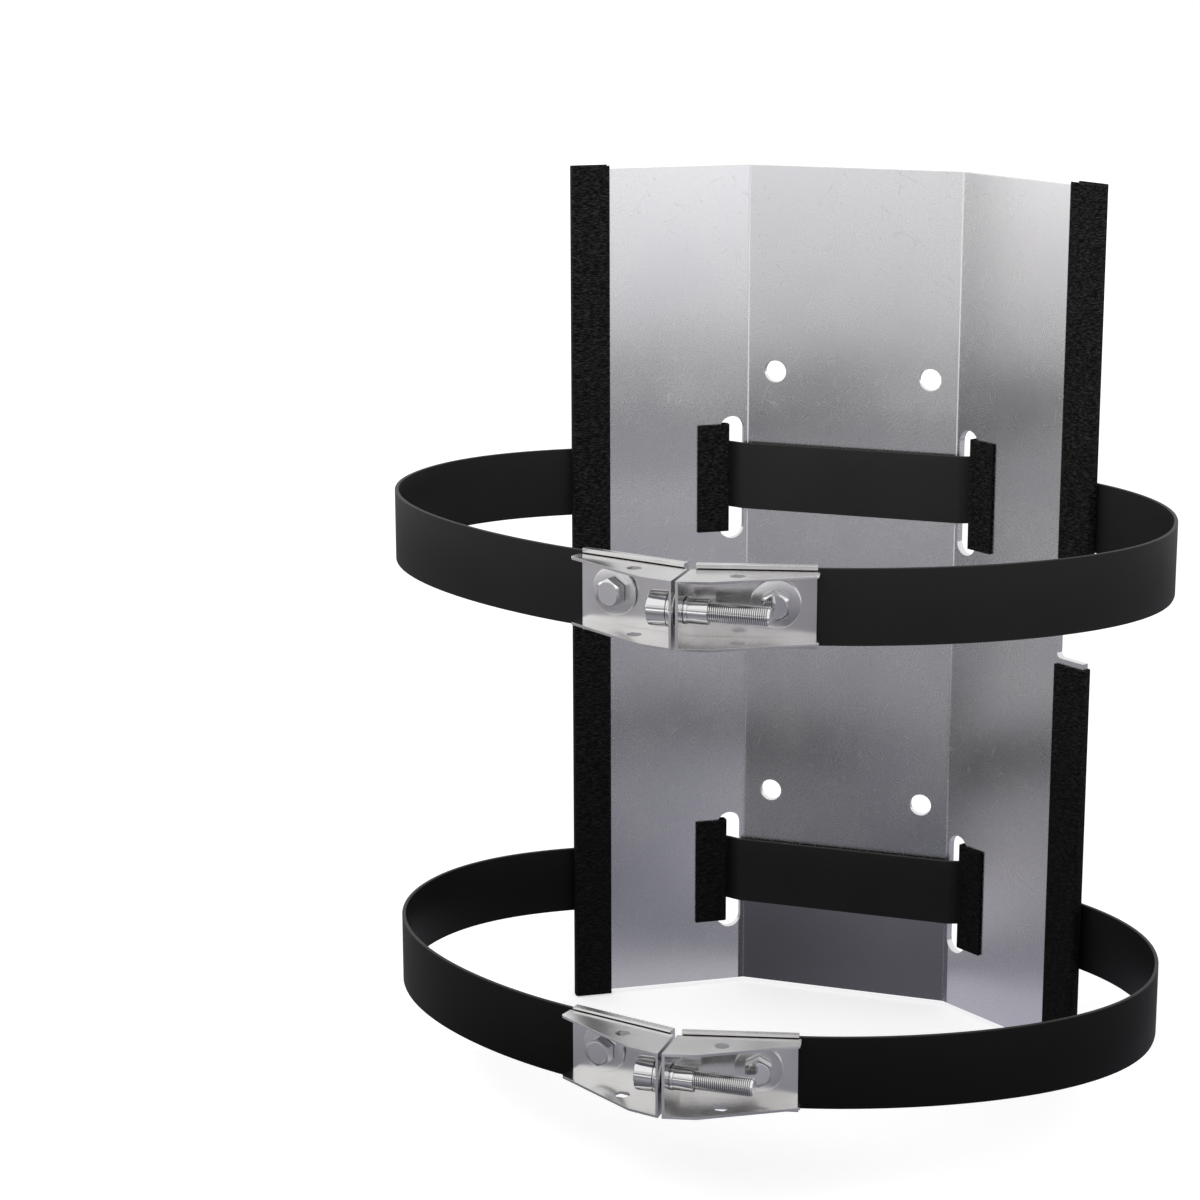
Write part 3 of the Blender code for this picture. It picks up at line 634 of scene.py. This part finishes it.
def shade_flats(thing: Object) -> None:
    """Let the large faces set the normals, so that they shade flat up to their edges."""
    weighted = thing.modifiers.new("flats", "WEIGHTED_NORMAL")
    weighted.mode = "FACE_AREA"
    weighted.keep_sharp = True


# Sub-assemblies


@dataclass(frozen=True)
class Hang:
    """Where a strap and its slots lie."""

    middle: float
    slot: float
    droop: float
    reach: float
    shift: float


HANGS = {
    Level.UPPER: Hang(47 * MM, 46.2 * MM, 0.6 * MM, 212.4 * MM, -1.4 * MM),
    Level.LOWER: Hang(-125.4 * MM, -125.4 * MM, 1.2 * MM, 213.6 * MM, -5.5 * MM),
}


@dataclass
class WallPlate:
    """The folded plate, with the places of its wings."""

    web_width: float = 88 * MM
    sheet: float = 3 * MM
    wing_angle: float = radians(33)
    wing_length: float = 73.2 * MM
    edge_ease: float = 0.22 * MM

    def wing_point(self, side: Side, along: float, depth: float) -> Points:
        """Return the plan place on a wing, down its front face and into it."""
        x = self.web_width / 2 + along * cos(self.wing_angle) + depth * sin(self.wing_angle)
        y = -self.sheet - along * sin(self.wing_angle) + depth * cos(self.wing_angle)
        return np.array((side.value * x, y))

    def build(self, material: Material) -> None:
        """Ease the plate's cut edges and dress it."""
        mesh = eased_copy("wall_plate", "folded_plate", self.edge_ease)
        shade_flats(publish(mesh, material, Slot.STEEL, "bracket", "wall_plate"))


@dataclass
class EdgeTrims:
    """U-shaped edging on the wings' outer edges and on the slots' edges."""

    plate: WallPlate
    wall: float = 0.8 * MM
    bend: float = 1 * MM
    depth: float = 14.4 * MM
    overhang: float = 1.5 * MM
    notch_edge: float = 13.7 * MM
    plate_half: float = 175 * MM
    slot_edge: float = 9 * MM
    slot_depth: float = 12.6 * MM
    slot_half: float = 22.5 * MM
    tooth_pitch: float = 0.8 * MM
    tooth_depth: float = 0.26 * MM

    def section(self, side: Side, edge: float, depth: float, way: int) -> Points:
        """Return the middle line of the U round an edge of the wing."""
        stand = GAP + self.wall / 2
        shut, mouth = edge - way * stand, edge + way * depth
        back = self.plate.sheet + stand
        places = ((mouth, -stand), (shut, -stand), (shut, back), (mouth, back))
        corners = np.array([self.plate.wing_point(side, *place) for place in places])
        return rounded_path(corners, self.bend)

    def build_one(
        self, name: str, node: str, line: Points, low: float, high: float, material: Material
    ) -> None:
        """Carry a U section up a length, with small teeth on both lips.

        The wall is the middle line moved half the wall's thickness to each
        side. Along the height a triangle wave moves the lips in and out.
        """
        teeth = max(int(round((high - low) / self.tooth_pitch)), 1)
        levels = np.linspace(low, high, 2 * teeth + 1)
        side_way = normals(line) * self.wall / 2
        loop = np.concatenate([line + side_way, (line - side_way)[::-1]])
        reach = np.zeros_like(loop)
        for lip, away in ((0, line[0] - line[1]), (len(line) - 1, line[-1] - line[-2])):
            reach[[lip, -1 - lip]] = unit(away)
        wave = -self.tooth_depth * (np.arange(len(levels)) % 2)
        plan = loop[None] + reach[None] * wave[:, None, None]
        points = np.concatenate([
            plan, np.broadcast_to(levels[:, None, None], (*plan.shape[:2], 1))
        ], -1)
        mesh = grid_mesh(name, points, ladder_ends=True, sharp=50)
        publish(mesh, material, Slot.RUBBER, "bracket", node)

    def build(self, material: Material) -> None:
        """Build the wing edging and the slot edging."""
        end = self.plate_half + self.overhang
        lengths = {
            "left": (Side.LEFT, -end, end),
            "right_upper": (Side.RIGHT, self.notch_edge, end),
            "right_lower": (Side.RIGHT, -end, -self.notch_edge),
        }
        for word, (side, low, high) in lengths.items():
            line = self.section(side, self.plate.wing_length, self.depth, -1)
            self.build_one(f"edging_{word}", f"edge_trim_{word}", line, low, high, material)
        for level, hang in HANGS.items():
            low, high = hang.slot - self.slot_half, hang.slot + self.slot_half
            for side in Side:
                line = self.section(side, self.slot_edge, self.slot_depth, 1)
                word = f"{level.value}_{side.word}"
                self.build_one(f"slot_edging_{word}", f"slot_trim_{word}", line, low, high,
                               material)


@dataclass
class Strap:
    """One coated band, from the web through the slots and round to the clasp."""

    plate: WallPlate
    level: Level
    height: float = 27.7 * MM
    thickness: float = 1.5 * MM
    rim: float = 0.35 * MM
    bend: float = 5 * MM
    slot_inset: float = 1.6 * MM
    slot_width: float = 10.4 * MM
    slot_slack: float = 2.7 * MM
    trim_wall: float = 0.8 * MM
    half_width: float = 150 * MM
    shift: float = -2.2 * MM
    side_depth: float = 104 * MM
    wing_pull: float = 12 * MM
    side_pull: float = 42 * MM
    front_side_share: float = 0.466
    front_clasp_share: float = 0.43
    clasp_angle: float = radians(14)
    clasp_run: float = 44.9 * MM
    end_reach: float = 2.7 * MM

    @property
    def hang(self) -> Hang:
        """Return where the strap lies."""
        return HANGS[self.level]

    @property
    def origin(self) -> Points:
        """Return the plan place where the strap's two ends would meet."""
        return np.array((self.hang.shift, -self.plate.sheet - self.hang.reach))

    def half_offset(self, side: Side, along: float, forward: float) -> Points:
        """Return a plan offset along one half of the clasp and out from it."""
        reach = along * cos(self.clasp_angle) + forward * sin(self.clasp_angle)
        rise = forward * cos(self.clasp_angle) - along * sin(self.clasp_angle)
        return np.array((side.value * reach, -rise))

    def half_place(self, side: Side, along: float, forward: float) -> Points:
        """Return a place in space on one half of the clasp."""
        return np.append(self.origin + self.half_offset(side, along, forward), self.hang.middle)

    def run(self, side: Side) -> Points:
        """Return one half of the strap's middle line in plan.

        Straight along the web, round into the slot, straight behind the wing,
        then two Bezier curves that meet square to X at the widest point.
        """
        plate, way = self.plate, side.value
        behind = plate.sheet + 2 * GAP + self.trim_wall + self.thickness / 2
        web_y = -plate.sheet - self.slot_inset * sin(plate.wing_angle)
        web_y -= GAP + self.thickness / 2
        into = self.slot_inset + self.slot_width - self.slot_slack - 2 * (self.trim_wall + GAP)
        leave = plate.wing_point(side, plate.wing_length + self.trim_wall, behind)
        corners = np.array([
            (0, web_y), (way * (plate.web_width / 2 + self.slot_inset), web_y),
            plate.wing_point(side, into, behind), leave,
        ])
        along = unit(leave - plate.wing_point(side, 0, behind))
        widest = np.array((self.shift + way * self.half_width, -plate.sheet - self.side_depth))
        pull = np.array((0, self.side_pull))
        back = bezier([leave, leave + along * self.wing_pull, widest + pull, widest], 48)
        return np.concatenate([rounded_path(corners, self.bend), back, self.front(side, widest)])

    def front(self, side: Side, widest: Points) -> Points:
        """Return the run from the widest point round to the strap's end."""
        tangent = self.origin + self.half_offset(side, self.clasp_run, 0)
        outward = self.half_offset(side, 1, 0)
        depth = self.hang.reach - self.side_depth
        curve = bezier([
            widest, widest - (0, self.front_side_share * depth),
            tangent + outward * self.front_clasp_share * depth, tangent,
        ], 60)
        end = self.origin + self.half_offset(side, self.end_reach, 0)
        return np.concatenate([curve, end[None]])

    def build(self, material: Material) -> None:
        """Carry a rectangle with eased corners along the middle line.

        Each point is the line's point plus its normal times the section's
        offset, at the strap's height plus the section's height, less a droop
        that grows evenly from the web to the clasp.
        """
        left, right = self.run(Side.LEFT), self.run(Side.RIGHT)
        line = np.concatenate([left[::-1], right[1:]])
        thick, tall, rim = self.thickness / 2, self.height / 2, self.rim
        soft = rim * (1 - cos(pi / 4))
        corner = np.array([
            (thick - rim, tall), (thick - soft, tall - soft), (thick, tall - rim),
        ])
        face = np.concatenate([corner, (corner * (1, -1))[::-1]])
        section = np.concatenate([face, (face * (-1, 1))[::-1]])
        plan = line[:, None] + normals(line)[:, None] * section[None, :, :1]
        share = (-self.plate.sheet - line[:, 1]) / self.hang.reach
        levels = self.hang.middle - self.hang.droop * share
        heights = levels[:, None, None] + section[None, :, 1:]
        points = np.concatenate([plan, heights], -1)
        mesh = grid_mesh(f"band_{self.level.value}", points, ladder_ends=True)
        publish(mesh, material, Slot.STRAP_COAT, "bracket", f"strap_{self.level.value}")


@dataclass
class ClaspSheets:
    """The two folded halves of a clasp and the trays behind the strap's ends."""

    level: Level
    ease: float = 0.09 * MM
    tray_ease: float = 0.12 * MM

    def build(self, material: Material) -> None:
        """Ease and dress both halves and both trays."""
        for side in Side:
            for kind, ease in (("clasp", self.ease), ("strap_tray", self.tray_ease)):
                node = f"{kind}_{self.level.value}_{side.word}"
                mesh = eased_copy(node, f"bright_{node}", ease)
                shade_flats(publish(mesh, material, Slot.CLASP_STEEL, "bracket", node))


@dataclass
class ClampScrew:
    """A hexagon screw, its large washer and its press nut on one clasp half."""

    strap: Strap
    side: Side
    reach: float = 29.6 * MM
    rise: float = 0.8 * MM
    shank: float = 6 * MM
    tip: float = 0.6 * MM
    flats: float = 9.4 * MM
    height: float = 4 * MM
    face: float = 8.2 * MM
    step: float = 0.3 * MM
    slope: float = 0.16
    washer: Ring = Ring(17.8 * MM, 1 * MM, 0.3 * MM)
    nut: Ring = Ring(11 * MM, 2.6 * MM, 0.4 * MM)
    tray: float = 0.6 * MM

    def screw(self) -> Points:
        """Return the screw's surface.

        From the round face out: a narrow groove, a cone that falls with the
        radius until it meets the hexagon, the hexagon's flats, and the shank.
        """
        hexed = hexagon(self.flats)
        flat, tall, stem = self.face / 2, self.height, self.shank / 2
        start, base = flat + 0.14 * MM, tall - self.step
        end = -(self.strap.thickness + CLASP_SHEET + self.tray + self.washer.thickness
                + 4 * GAP + self.nut.thickness)
        cone = [start + (hexed - start) * share for share in np.linspace(0, 1, 5)]
        rows = [
            (0.0, tall), (flat - 0.08 * MM, tall), (flat, tall - 0.06 * MM), (flat, base),
            (flat + 0.12 * MM, base),
            *[(radius, tall - 0.08 * MM - (radius - start) * self.slope) for radius in cone],
            (hexed, 0.1 * MM), (hexed - 0.1 * MM, 0.0), (stem, 0.0), (stem, end + self.tip),
            (stem - self.tip, end), (0.0, end),
        ]
        return revolve(rows, SCREW_COLUMNS)

    def build(self, material: Material, soft: Material) -> None:
        """Build the screw and the nut, and the washer in its softer finish."""
        bore, half = self.shank / 2 + GAP, self.strap.thickness / 2
        front = half + CLASP_SHEET + 2 * GAP
        shapes = {
            "clamp_screw": (self.screw(), front + self.washer.thickness + GAP, material),
            "clamp_washer": (self.washer.surface(bore), front, soft),
            "clamp_nut": (self.nut.surface(bore),
                          -(half + self.tray + 2 * GAP + self.nut.thickness), material),
        }
        axis = np.append(self.strap.half_offset(self.side, 0, 1), 0)
        for kind, (points, forward, finish) in shapes.items():
            node = f"{kind}_{self.strap.level.value}_{self.side.word}"
            place = self.strap.half_place(self.side, self.reach, forward) + (0, 0, self.rise)
            whole = kind != "clamp_screw"
            mesh = grid_mesh(f"bright_{node}", placed(points, place, axis), wrap_rows=whole,
                             sharp=SHARP if whole else 24)
            publish(mesh, finish, Slot.FASTENER_STEEL, "bracket", node)


@dataclass
class TensionScrew:
    """The socket screw that draws both clasp halves together."""

    strap: Strap
    rise: float = 9.4 * MM
    half_gap: float = 0.7 * MM
    diameter: float = 7 * MM
    length: float = 36.4 * MM
    pitch: float = 0.75 * MM
    pitch_steps: int = 8
    thread_depth: float = 0.40 * MM
    plain: float = 6 * MM
    head: float = 12.6 * MM
    head_height: float = 7 * MM
    chamfer: float = 0.8 * MM
    socket: float = 6 * MM
    socket_depth: float = 3.2 * MM
    flat_washer: Ring = Ring(15.6 * MM, 0.8 * MM, 0.3 * MM)
    spring_washer: Ring = Ring(13.2 * MM, 0.9 * MM, 0.25 * MM)
    spring_spread: float = 0.12 * MM
    split: Pair = (radians(124), radians(476))

    @property
    def word(self) -> str:
        """Return the end of the nodes' names."""
        return self.strap.level.value

    @property
    def bore(self) -> float:
        """Return the radius of the holes round the screw."""
        return self.diameter / 2 + GAP

    def lay(self, points: Points, reach: float, way: int = 1) -> Points:
        """Lay points along the screw's axis, at a reach from the clasp's middle."""
        angle, back = self.strap.clasp_angle, self.strap.thickness / 2 + GAP
        root = (back - self.half_gap * sin(angle)) / cos(angle)
        x, y = self.strap.origin
        return placed(points, (x + reach, y - root - self.rise, self.strap.hang.middle),
                      (way, 0, 0))

    @property
    def stack(self) -> Triple:
        """Return the reaches of the flat washer, the spring washer and the head."""
        flat = -(self.half_gap + CLASP_SHEET + GAP)
        spring = flat - self.flat_washer.thickness - GAP
        return flat, spring, spring - self.spring_washer.thickness - GAP

    def thread(self) -> tuple[Points, Points]:
        """Return the thread's radii and heights, from the plain shank down.

        The depth is a triangle wave of the height over the pitch less the
        angle over a whole turn, cut off flat at the crests, and it fades in
        under the plain shank. The end's chamfer is the smaller of two radii.
        """
        full = self.diameter / 2
        count = int((self.length - self.plain) / self.pitch * self.pitch_steps)
        drop = np.linspace(self.plain, self.length, count + 1)
        angle = np.arange(SCREW_COLUMNS) / SCREW_COLUMNS
        phase = (drop[:, None] / self.pitch - angle) % 1
        wave = np.clip(abs(2 * phase - 1) * 1.25 - 0.12, 0, 1)
        fade = np.clip((drop - self.plain) / self.pitch, 0, 1)[:, None]
        end = full - self.chamfer + self.length - drop[:, None]
        return np.minimum(full - self.thread_depth * wave * fade, end), -drop

    def screw(self) -> Points:
        """Return the whole screw: socket, head, shank and thread."""
        hexed = hexagon(self.socket)
        top, tall, bevel = self.head / 2, self.head_height, self.chamfer
        floor = tall - self.socket_depth
        rows = [
            (0.0, floor), (hexed, floor), (hexed, tall - 0.25 * MM), (hexed + 0.3 * MM, tall),
            (top - bevel, tall), (top - bevel * 0.45, tall - bevel * 0.12),
            (top - bevel * 0.12, tall - bevel * 0.45), (top, tall - bevel),
            (top, 0.15 * MM), (top - 0.15 * MM, 0.0), (self.diameter / 2, 0.0),
            *zip(*self.thread()), (0.0, -self.length),
        ]
        return revolve(rows, SCREW_COLUMNS)

    def mark_groove_shade(self, mesh: Mesh, head: float) -> None:
        """Store how deep each vertex lies in the thread, from 0 to 1, for the painted shade in its
        grooves.

        It is the fall of the vertex's distance from the axis below the full
        radius, over the thread's depth, along the threaded length only.
        """
        places = np.empty(len(mesh.vertices) * 3, np.float32)
        mesh.vertices.foreach_get("co", places)
        start = self.lay(np.zeros((1, 3)), head)[0]
        offset = places.reshape(-1, 3) - start
        fall = self.diameter / 2 - np.hypot(offset[:, 1], offset[:, 2])
        threaded = (offset[:, 0] > self.plain) & (offset[:, 0] < self.length - self.chamfer)
        depth = np.clip(fall / self.thread_depth, 0, 1) * threaded
        layer = mesh.attributes.new(GROOVE, "FLOAT", "POINT")
        layer.data.foreach_set("value", depth.astype(np.float32))

    def spring(self) -> Points:
        """Return the split spring washer's bar, carried once round less the split."""
        bore, out = self.bore, self.spring_washer.width / 2
        thick, rim = self.spring_washer.thickness, self.spring_washer.rim
        section = np.array([
            (bore, 0), (bore, thick), (out - rim, thick), (out, thick - rim),
            (out, rim), (out - rim, 0),
        ])
        turn = np.linspace(*self.split, 90)[:, None]
        height = section[:, 1] + np.linspace(-1, 1, len(turn))[:, None] * self.spring_spread
        return np.stack([section[:, 0] * np.cos(turn), section[:, 0] * np.sin(turn), height], -1)

    def build(self, material: Material) -> None:
        """Build the screw on its own body and its washers on theirs."""
        flat, spring, head = self.stack
        mesh = grid_mesh(f"threaded_screw_{self.word}", self.lay(self.screw(), head, -1), sharp=30)
        self.mark_groove_shade(mesh, head)
        publish(mesh, material, Slot.FASTENER_STEEL, f"screw_{self.word}",
                f"tension_screw_{self.word}")
        disc = self.flat_washer.surface(self.bore)
        disc = self.lay(disc, flat - self.flat_washer.thickness)
        bar = self.lay(self.spring(), spring - self.spring_washer.thickness)
        washers = {
            "tension": grid_mesh(f"flat_washer_{self.word}", disc, wrap_rows=True),
            "spring": grid_mesh(f"split_washer_{self.word}", bar, ladder_ends=True),
        }
        for kind, mesh in washers.items():
            publish(mesh, material, Slot.FASTENER_STEEL, f"washers_{self.word}",
                    f"{kind}_washer_{self.word}")


@dataclass
class SleeveNut:
    """The flanged sleeve that is set in the right half's end plate."""

    screw: TensionScrew
    body: float = 9 * MM
    length: float = 8.4 * MM
    bulge: float = 9.6 * MM
    bulge_length: float = 0.8 * MM
    flange: float = 13 * MM
    flange_thickness: float = 0.8 * MM
    rim: float = 0.3 * MM
    ease: float = 0.1 * MM

    def build(self, material: Material) -> None:
        """Turn the sleeve from its profile."""
        screw, rim, ease = self.screw, self.rim, self.ease
        face = screw.half_gap - GAP
        inner = screw.half_gap + CLASP_SHEET + GAP
        end, low = inner + self.length, face - self.flange_thickness
        radius, crest, wide = self.body / 2, self.bulge / 2, self.flange / 2
        profile = [
            (screw.bore, end - rim), (screw.bore + rim, end), (radius - rim, end),
            (radius - rim * 0.3, end - rim * 0.3), (radius, end - rim),
            (radius, inner + self.bulge_length), (crest - ease, inner + self.bulge_length * 0.8),
            (crest, inner + self.bulge_length * 0.5), (crest, inner), (radius, inner),
            (radius, face), (wide - ease, face), (wide, face - ease),
            (wide, low + 2 * ease), (wide - 2 * ease, low), (screw.bore, low),
        ]
        points = screw.lay(revolve(profile, RING_COLUMNS), 0)
        mesh = grid_mesh(f"turned_sleeve_{screw.word}", points, wrap_rows=True)
        publish(mesh, material, Slot.FASTENER_STEEL, "bracket", f"sleeve_nut_{screw.word}")


# Studio


@dataclass(frozen=True)
class Upright:
    """A standing card: its finish, its half width and levels, its Y, and its tone.

    The tone grows by one gain over a span of X and by another over a span of Z.
    """

    finish: str
    half: float
    levels: Pair
    depth: float
    colour: Colour
    tone: float
    across: Pair
    right_gain: float
    rise: Pair
    top_gain: float


# A flag before the web's foot, up to behind the lower strap, which paints a dark reflection on the
# web's foot, and a screen behind the camera.
UPRIGHTS = {
    "flag": Upright("dark_flag", 45.7 * MM, (-176.7 * MM, -138 * MM), -4.5 * MM,
                    (1.0, 0.97, 1.14, 1.0), 0.066, (-40 * MM, 30 * MM), 0.036,
                    (-165 * MM, -95 * MM), 0.05),
    "screen": Upright("grey_screen", 4.0, (0.3, 2.4), -4.5, (1.0, 0.98, 1.0, 1.0), 0.28,
                      (-1.0, 1.0), 0.0, (0.85, 1.25), 0.5),
}
# Of the floor card: place from 0 at the plate to 1 at its reach, tone, blue's share.
CARD_TONES = (
    (0.0, 0.20, 1.16), (0.028, 0.20, 1.16), (0.043, 0.06, 1.22), (0.06, 0.064, 1.17),
    (0.074, 0.18, 1.12), (0.09, 0.33, 1.08), (0.15, 0.23, 1.06), (0.20, 0.18, 1.08),
    (0.27, 0.42, 1.04), (0.34, 0.41, 1.04), (0.42, 0.33, 1.03), (0.47, 0.33, 1.02),
    (0.52, 0.33, 1.01), (0.585, 0.52, 1.0), (0.67, 0.95, 1.0), (0.75, 1.45, 1.0),
    (0.80, 1.65, 1.0),
)
# By the direction from the plate: what multiplies the tone, and what is added close to it.
CARD_TINTS = (
    (0.0, (0.6, 0.6, 0.62)), (0.22, (1.08, 1.06, 1.06)), (0.36, (1.08, 1.06, 1.07)),
    (0.45, (0.96, 0.96, 0.98)), (0.49, (1.12, 1.12, 1.14)), (0.522, (1.1, 1.1, 1.12)),
    (0.537, (0.45, 0.43, 0.48)), (0.62, (1.20, 1.19, 1.22)), (0.80, (1.16, 1.16, 1.20)),
)
CARD_LIFTS = (
    (0.22, (0.30, 0.295, 0.30)), (0.33, (0.25, 0.24, 0.25)), (0.42, (0.05, 0.05, 0.05)),
    (0.50, (0.0, 0.0, 0.0)), (0.56, (0.21, 0.207, 0.23)), (0.68, (0.24, 0.235, 0.26)),
)
# Each lamp's place, size in metres and power in watts.
LAMPS = {
    "key": ((-1.4, -1.5, 1.7), 1.6, 16.0),
    "fill": ((1.7, -1.2, 1.3), 1.4, 7.0),
}


@dataclass
class Studio:
    """Camera, floor, world, lamps, and cards that only reflections see."""

    camera_place: Triple = (0.308041, -1.194878, 0.309132)
    azimuth: float = radians(19.288)
    elevation: float = radians(14.267)
    roll: float = radians(-0.194)
    lens: float = 91.6
    sensor: float = 36.0
    sight: float = 60.0
    floor_gap: float = 0.5 * MM
    floor_half: float = 7.0
    card_lift: float = 0.2 * MM
    floor_tone: float = 0.80
    floor_glow: float = 0.46
    far_glow: float = 0.20
    far_levels: Pair = (0.5, 2.5)
    card_reach: float = 4.0
    close_levels: Pair = (0.05, 0.16)
    world_fill: float = 0.72
    lamp_aim: Triple = (0.0, -0.1, 0.0)

    def build_camera(self) -> None:
        """Set the camera at the photograph's angle."""
        place = Matrix.Translation(self.camera_place)
        turns = ((self.azimuth, "Z"), (pi / 2 - self.elevation, "X"), (self.roll, "Z"))
        for angle, axis in turns:
            place = place @ Matrix.Rotation(angle, 4, axis)
        data = bpy.data.cameras.new("view")
        data.lens, data.sensor_width, data.clip_end = self.lens, self.sensor, self.sight
        camera = add_object("view", data)
        camera.matrix_world = place
        bpy.context.scene.camera = camera

    @staticmethod
    def start(name: str) -> tuple[Material, Graph, list[Wire]]:
        """Make a material, whose glow isn't sampled as a lamp, with its graph and place."""
        material = bpy.data.materials.new(name)
        material.use_nodes = True
        material.node_tree.nodes.clear()
        material.cycles.emission_sampling = "NONE"
        graph = Graph(material.node_tree)
        return material, graph, graph.parts(graph.objects_place())

    @staticmethod
    def sheet(
        name: str, material: Material, half: float, span: Pair, place: float,
        stands: bool = False,
    ) -> Object:
        """Make one four-cornered face, of half a width to each side, for the stage.

        Its span is along Z and its place on Y where it stands, or else the other way.
        """
        low, high = span
        square = [(-half, low), (half, low), (half, high), (-half, high)]
        corners = [(x, place, end) if stands else (x, end, place) for x, end in square]
        mesh = bpy.data.meshes.new(name)
        mesh.from_pydata(corners, [], [(0, 1, 2, 3)])
        mesh.materials.append(material)
        thing = add_object(name, mesh)
        return thing

    def square(self, name: str, material: Material, rise: float) -> Object:
        """Lay a large level square, at a height from the bracket's foot."""
        half = self.floor_half
        return self.sheet(name, material, half, (-half, half), CAD_BOX[0].z + rise)

    @staticmethod
    def hide(card: Object) -> None:
        """Leave a card for reflections alone."""
        for rays in ("camera", "diffuse", "shadow", "transmission"):
            setattr(card, f"visible_{rays}", False)

    @staticmethod
    def seen(graph: Graph) -> Wire:
        """Return 1 for camera, glossy and transmission rays."""
        path = graph.add("ShaderNodeLightPath", {}, {})
        camera, glossy, clear = (
            Wire(graph, path.socket.node.outputs[f"Is {kind} Ray"])
            for kind in ("Camera", "Glossy", "Transmission")
        )
        return camera.larger(glossy).larger(clear)

    def build_floor(self) -> None:
        """Lay the pale floor, which shows white but keeps the shadow.

        Its glow grows with the distance, so that no horizon shows.
        """
        material, graph, (x, y, _) = self.start("pale_floor")
        diffuse = graph.add("ShaderNodeBsdfDiffuse", {}, {"Color": grey(self.floor_tone)})
        far = (x * x + y * y).root().step(*self.far_levels)
        glow = graph.glow(grey(1.0), self.seen(graph) * (self.floor_glow + far * self.far_glow))
        graph.close(graph.add("ShaderNodeAddShader", {}, {0: diffuse, 1: glow}))
        self.square("floor", material, -self.floor_gap)

    def build_card(self) -> None:
        """Lay the studio's dark card on the floor.

        Its tone grows with the distance from the plate and changes with the
        direction, which is 0 at the back, 0.25 at the left and 0.5 at the front.
        """
        material, graph, (x, y, _) = self.start("dark_card")
        distance = (x * x + y * y).root() / self.card_reach
        turn = x.angle_to(y * -1.0) / (2 * pi) + 0.5
        near = graph.ramp(distance, [
            (place, (tone, tone * 0.99, tone * blue)) for place, tone, blue in CARD_TONES
        ])
        lift = graph.scaled(graph.ramp(turn, CARD_LIFTS), 1 - distance.step(*self.close_levels))
        colour = graph.add("ShaderNodeVectorMath", {"operation": "MULTIPLY_ADD"},
                           {0: near, 1: graph.ramp(turn, CARD_TINTS), 2: lift})
        graph.close(graph.glow(colour, 1.0))
        self.hide(self.square("card", material, self.card_lift - self.floor_gap))

    def build_upright(self, name: str, card: Upright) -> None:
        """Stand a glowing card that only reflections see."""
        material, graph, (x, _, z) = self.start(card.finish)
        tone = x.step(*card.across) * card.right_gain + card.tone
        tone = tone + z.step(*card.rise) * card.top_gain
        graph.close(graph.glow(card.colour, tone))
        self.hide(self.sheet(name, material, card.half, card.levels, card.depth, stands=True))

    def build_world(self) -> None:
        """Fill the world with soft light, white where it is seen."""
        world = bpy.data.worlds.new("studio")
        bpy.context.scene.world = world
        world.use_nodes = True
        world.node_tree.nodes.clear()
        graph = Graph(world.node_tree)
        soft, white = (
            graph.add("ShaderNodeBackground", {}, {"Color": grey(1.0), "Strength": strength})
            for strength in (self.world_fill, 1.0)
        )
        mixed = graph.add("ShaderNodeMixShader", {}, {0: self.seen(graph), 1: soft, 2: white})
        graph.close(mixed, "ShaderNodeOutputWorld")

    def build_lamps(self) -> None:
        """Hang one large soft lamp on each side of the camera."""
        for name, (place, size, power) in LAMPS.items():
            data = bpy.data.lights.new(name, "AREA")
            data.shape, data.size, data.energy = "SQUARE", size, power
            lamp = add_object(name, data)
            lamp.location = place
            lamp.visible_glossy = False
            aim = Vector(self.lamp_aim) - Vector(place)
            lamp.rotation_euler = aim.to_track_quat("-Z", "Y").to_euler()

    def build(self) -> None:
        """Build the whole studio."""
        bpy.context.scene.view_settings.view_transform = "Standard"
        self.build_camera()
        self.build_floor()
        self.build_card()
        for name, card in UPRIGHTS.items():
            self.build_upright(name, card)
        self.build_world()
        self.build_lamps()


# How dark each strap's coat is, the lower strap darker as painted shade, and how much paler along
# the web as painted light.
COATS_LIT_AND_SHADED = {
    Level.UPPER: {"tone": 0.0140, "web_light_gain": 1.6},
    Level.LOWER: {"tone": 0.0035, "web_light_gain": 3.2},
}


def main() -> None:
    """Build the bracket piece by piece, and its studio."""
    logging.basicConfig(level=logging.INFO, format="%(message)s")
    Studio().build()
    plate = WallPlate()
    bright = BrightSheet("bright_clasp_sheet").make()
    turned = TurnedSteel("turned_steel").make()
    soft = TurnedSteel("pressed_washer", roughness=0.24).make()
    plate.build(SatinSheet("satin_sheet").make())
    EdgeTrims(plate).build(FibrousRubber("fibrous_rubber").make())
    for level in Level:
        strap, hang = Strap(plate, level), HANGS[level]
        # A lit and a shaded copy of the same coat, one a strap.
        coat = CoatedBand(f"coated_band_{level.value}", middle=hang.middle,
                          slope=hang.droop / hang.reach, **COATS_LIT_AND_SHADED[level])
        strap.build(coat.make())
        ClaspSheets(level).build(bright)
        for side in Side:
            ClampScrew(strap, side).build(turned, soft)
        screw = TensionScrew(strap)
        screw.build(turned)
        SleeveNut(screw).build(turned)


if __name__ == "__main__":
    main()
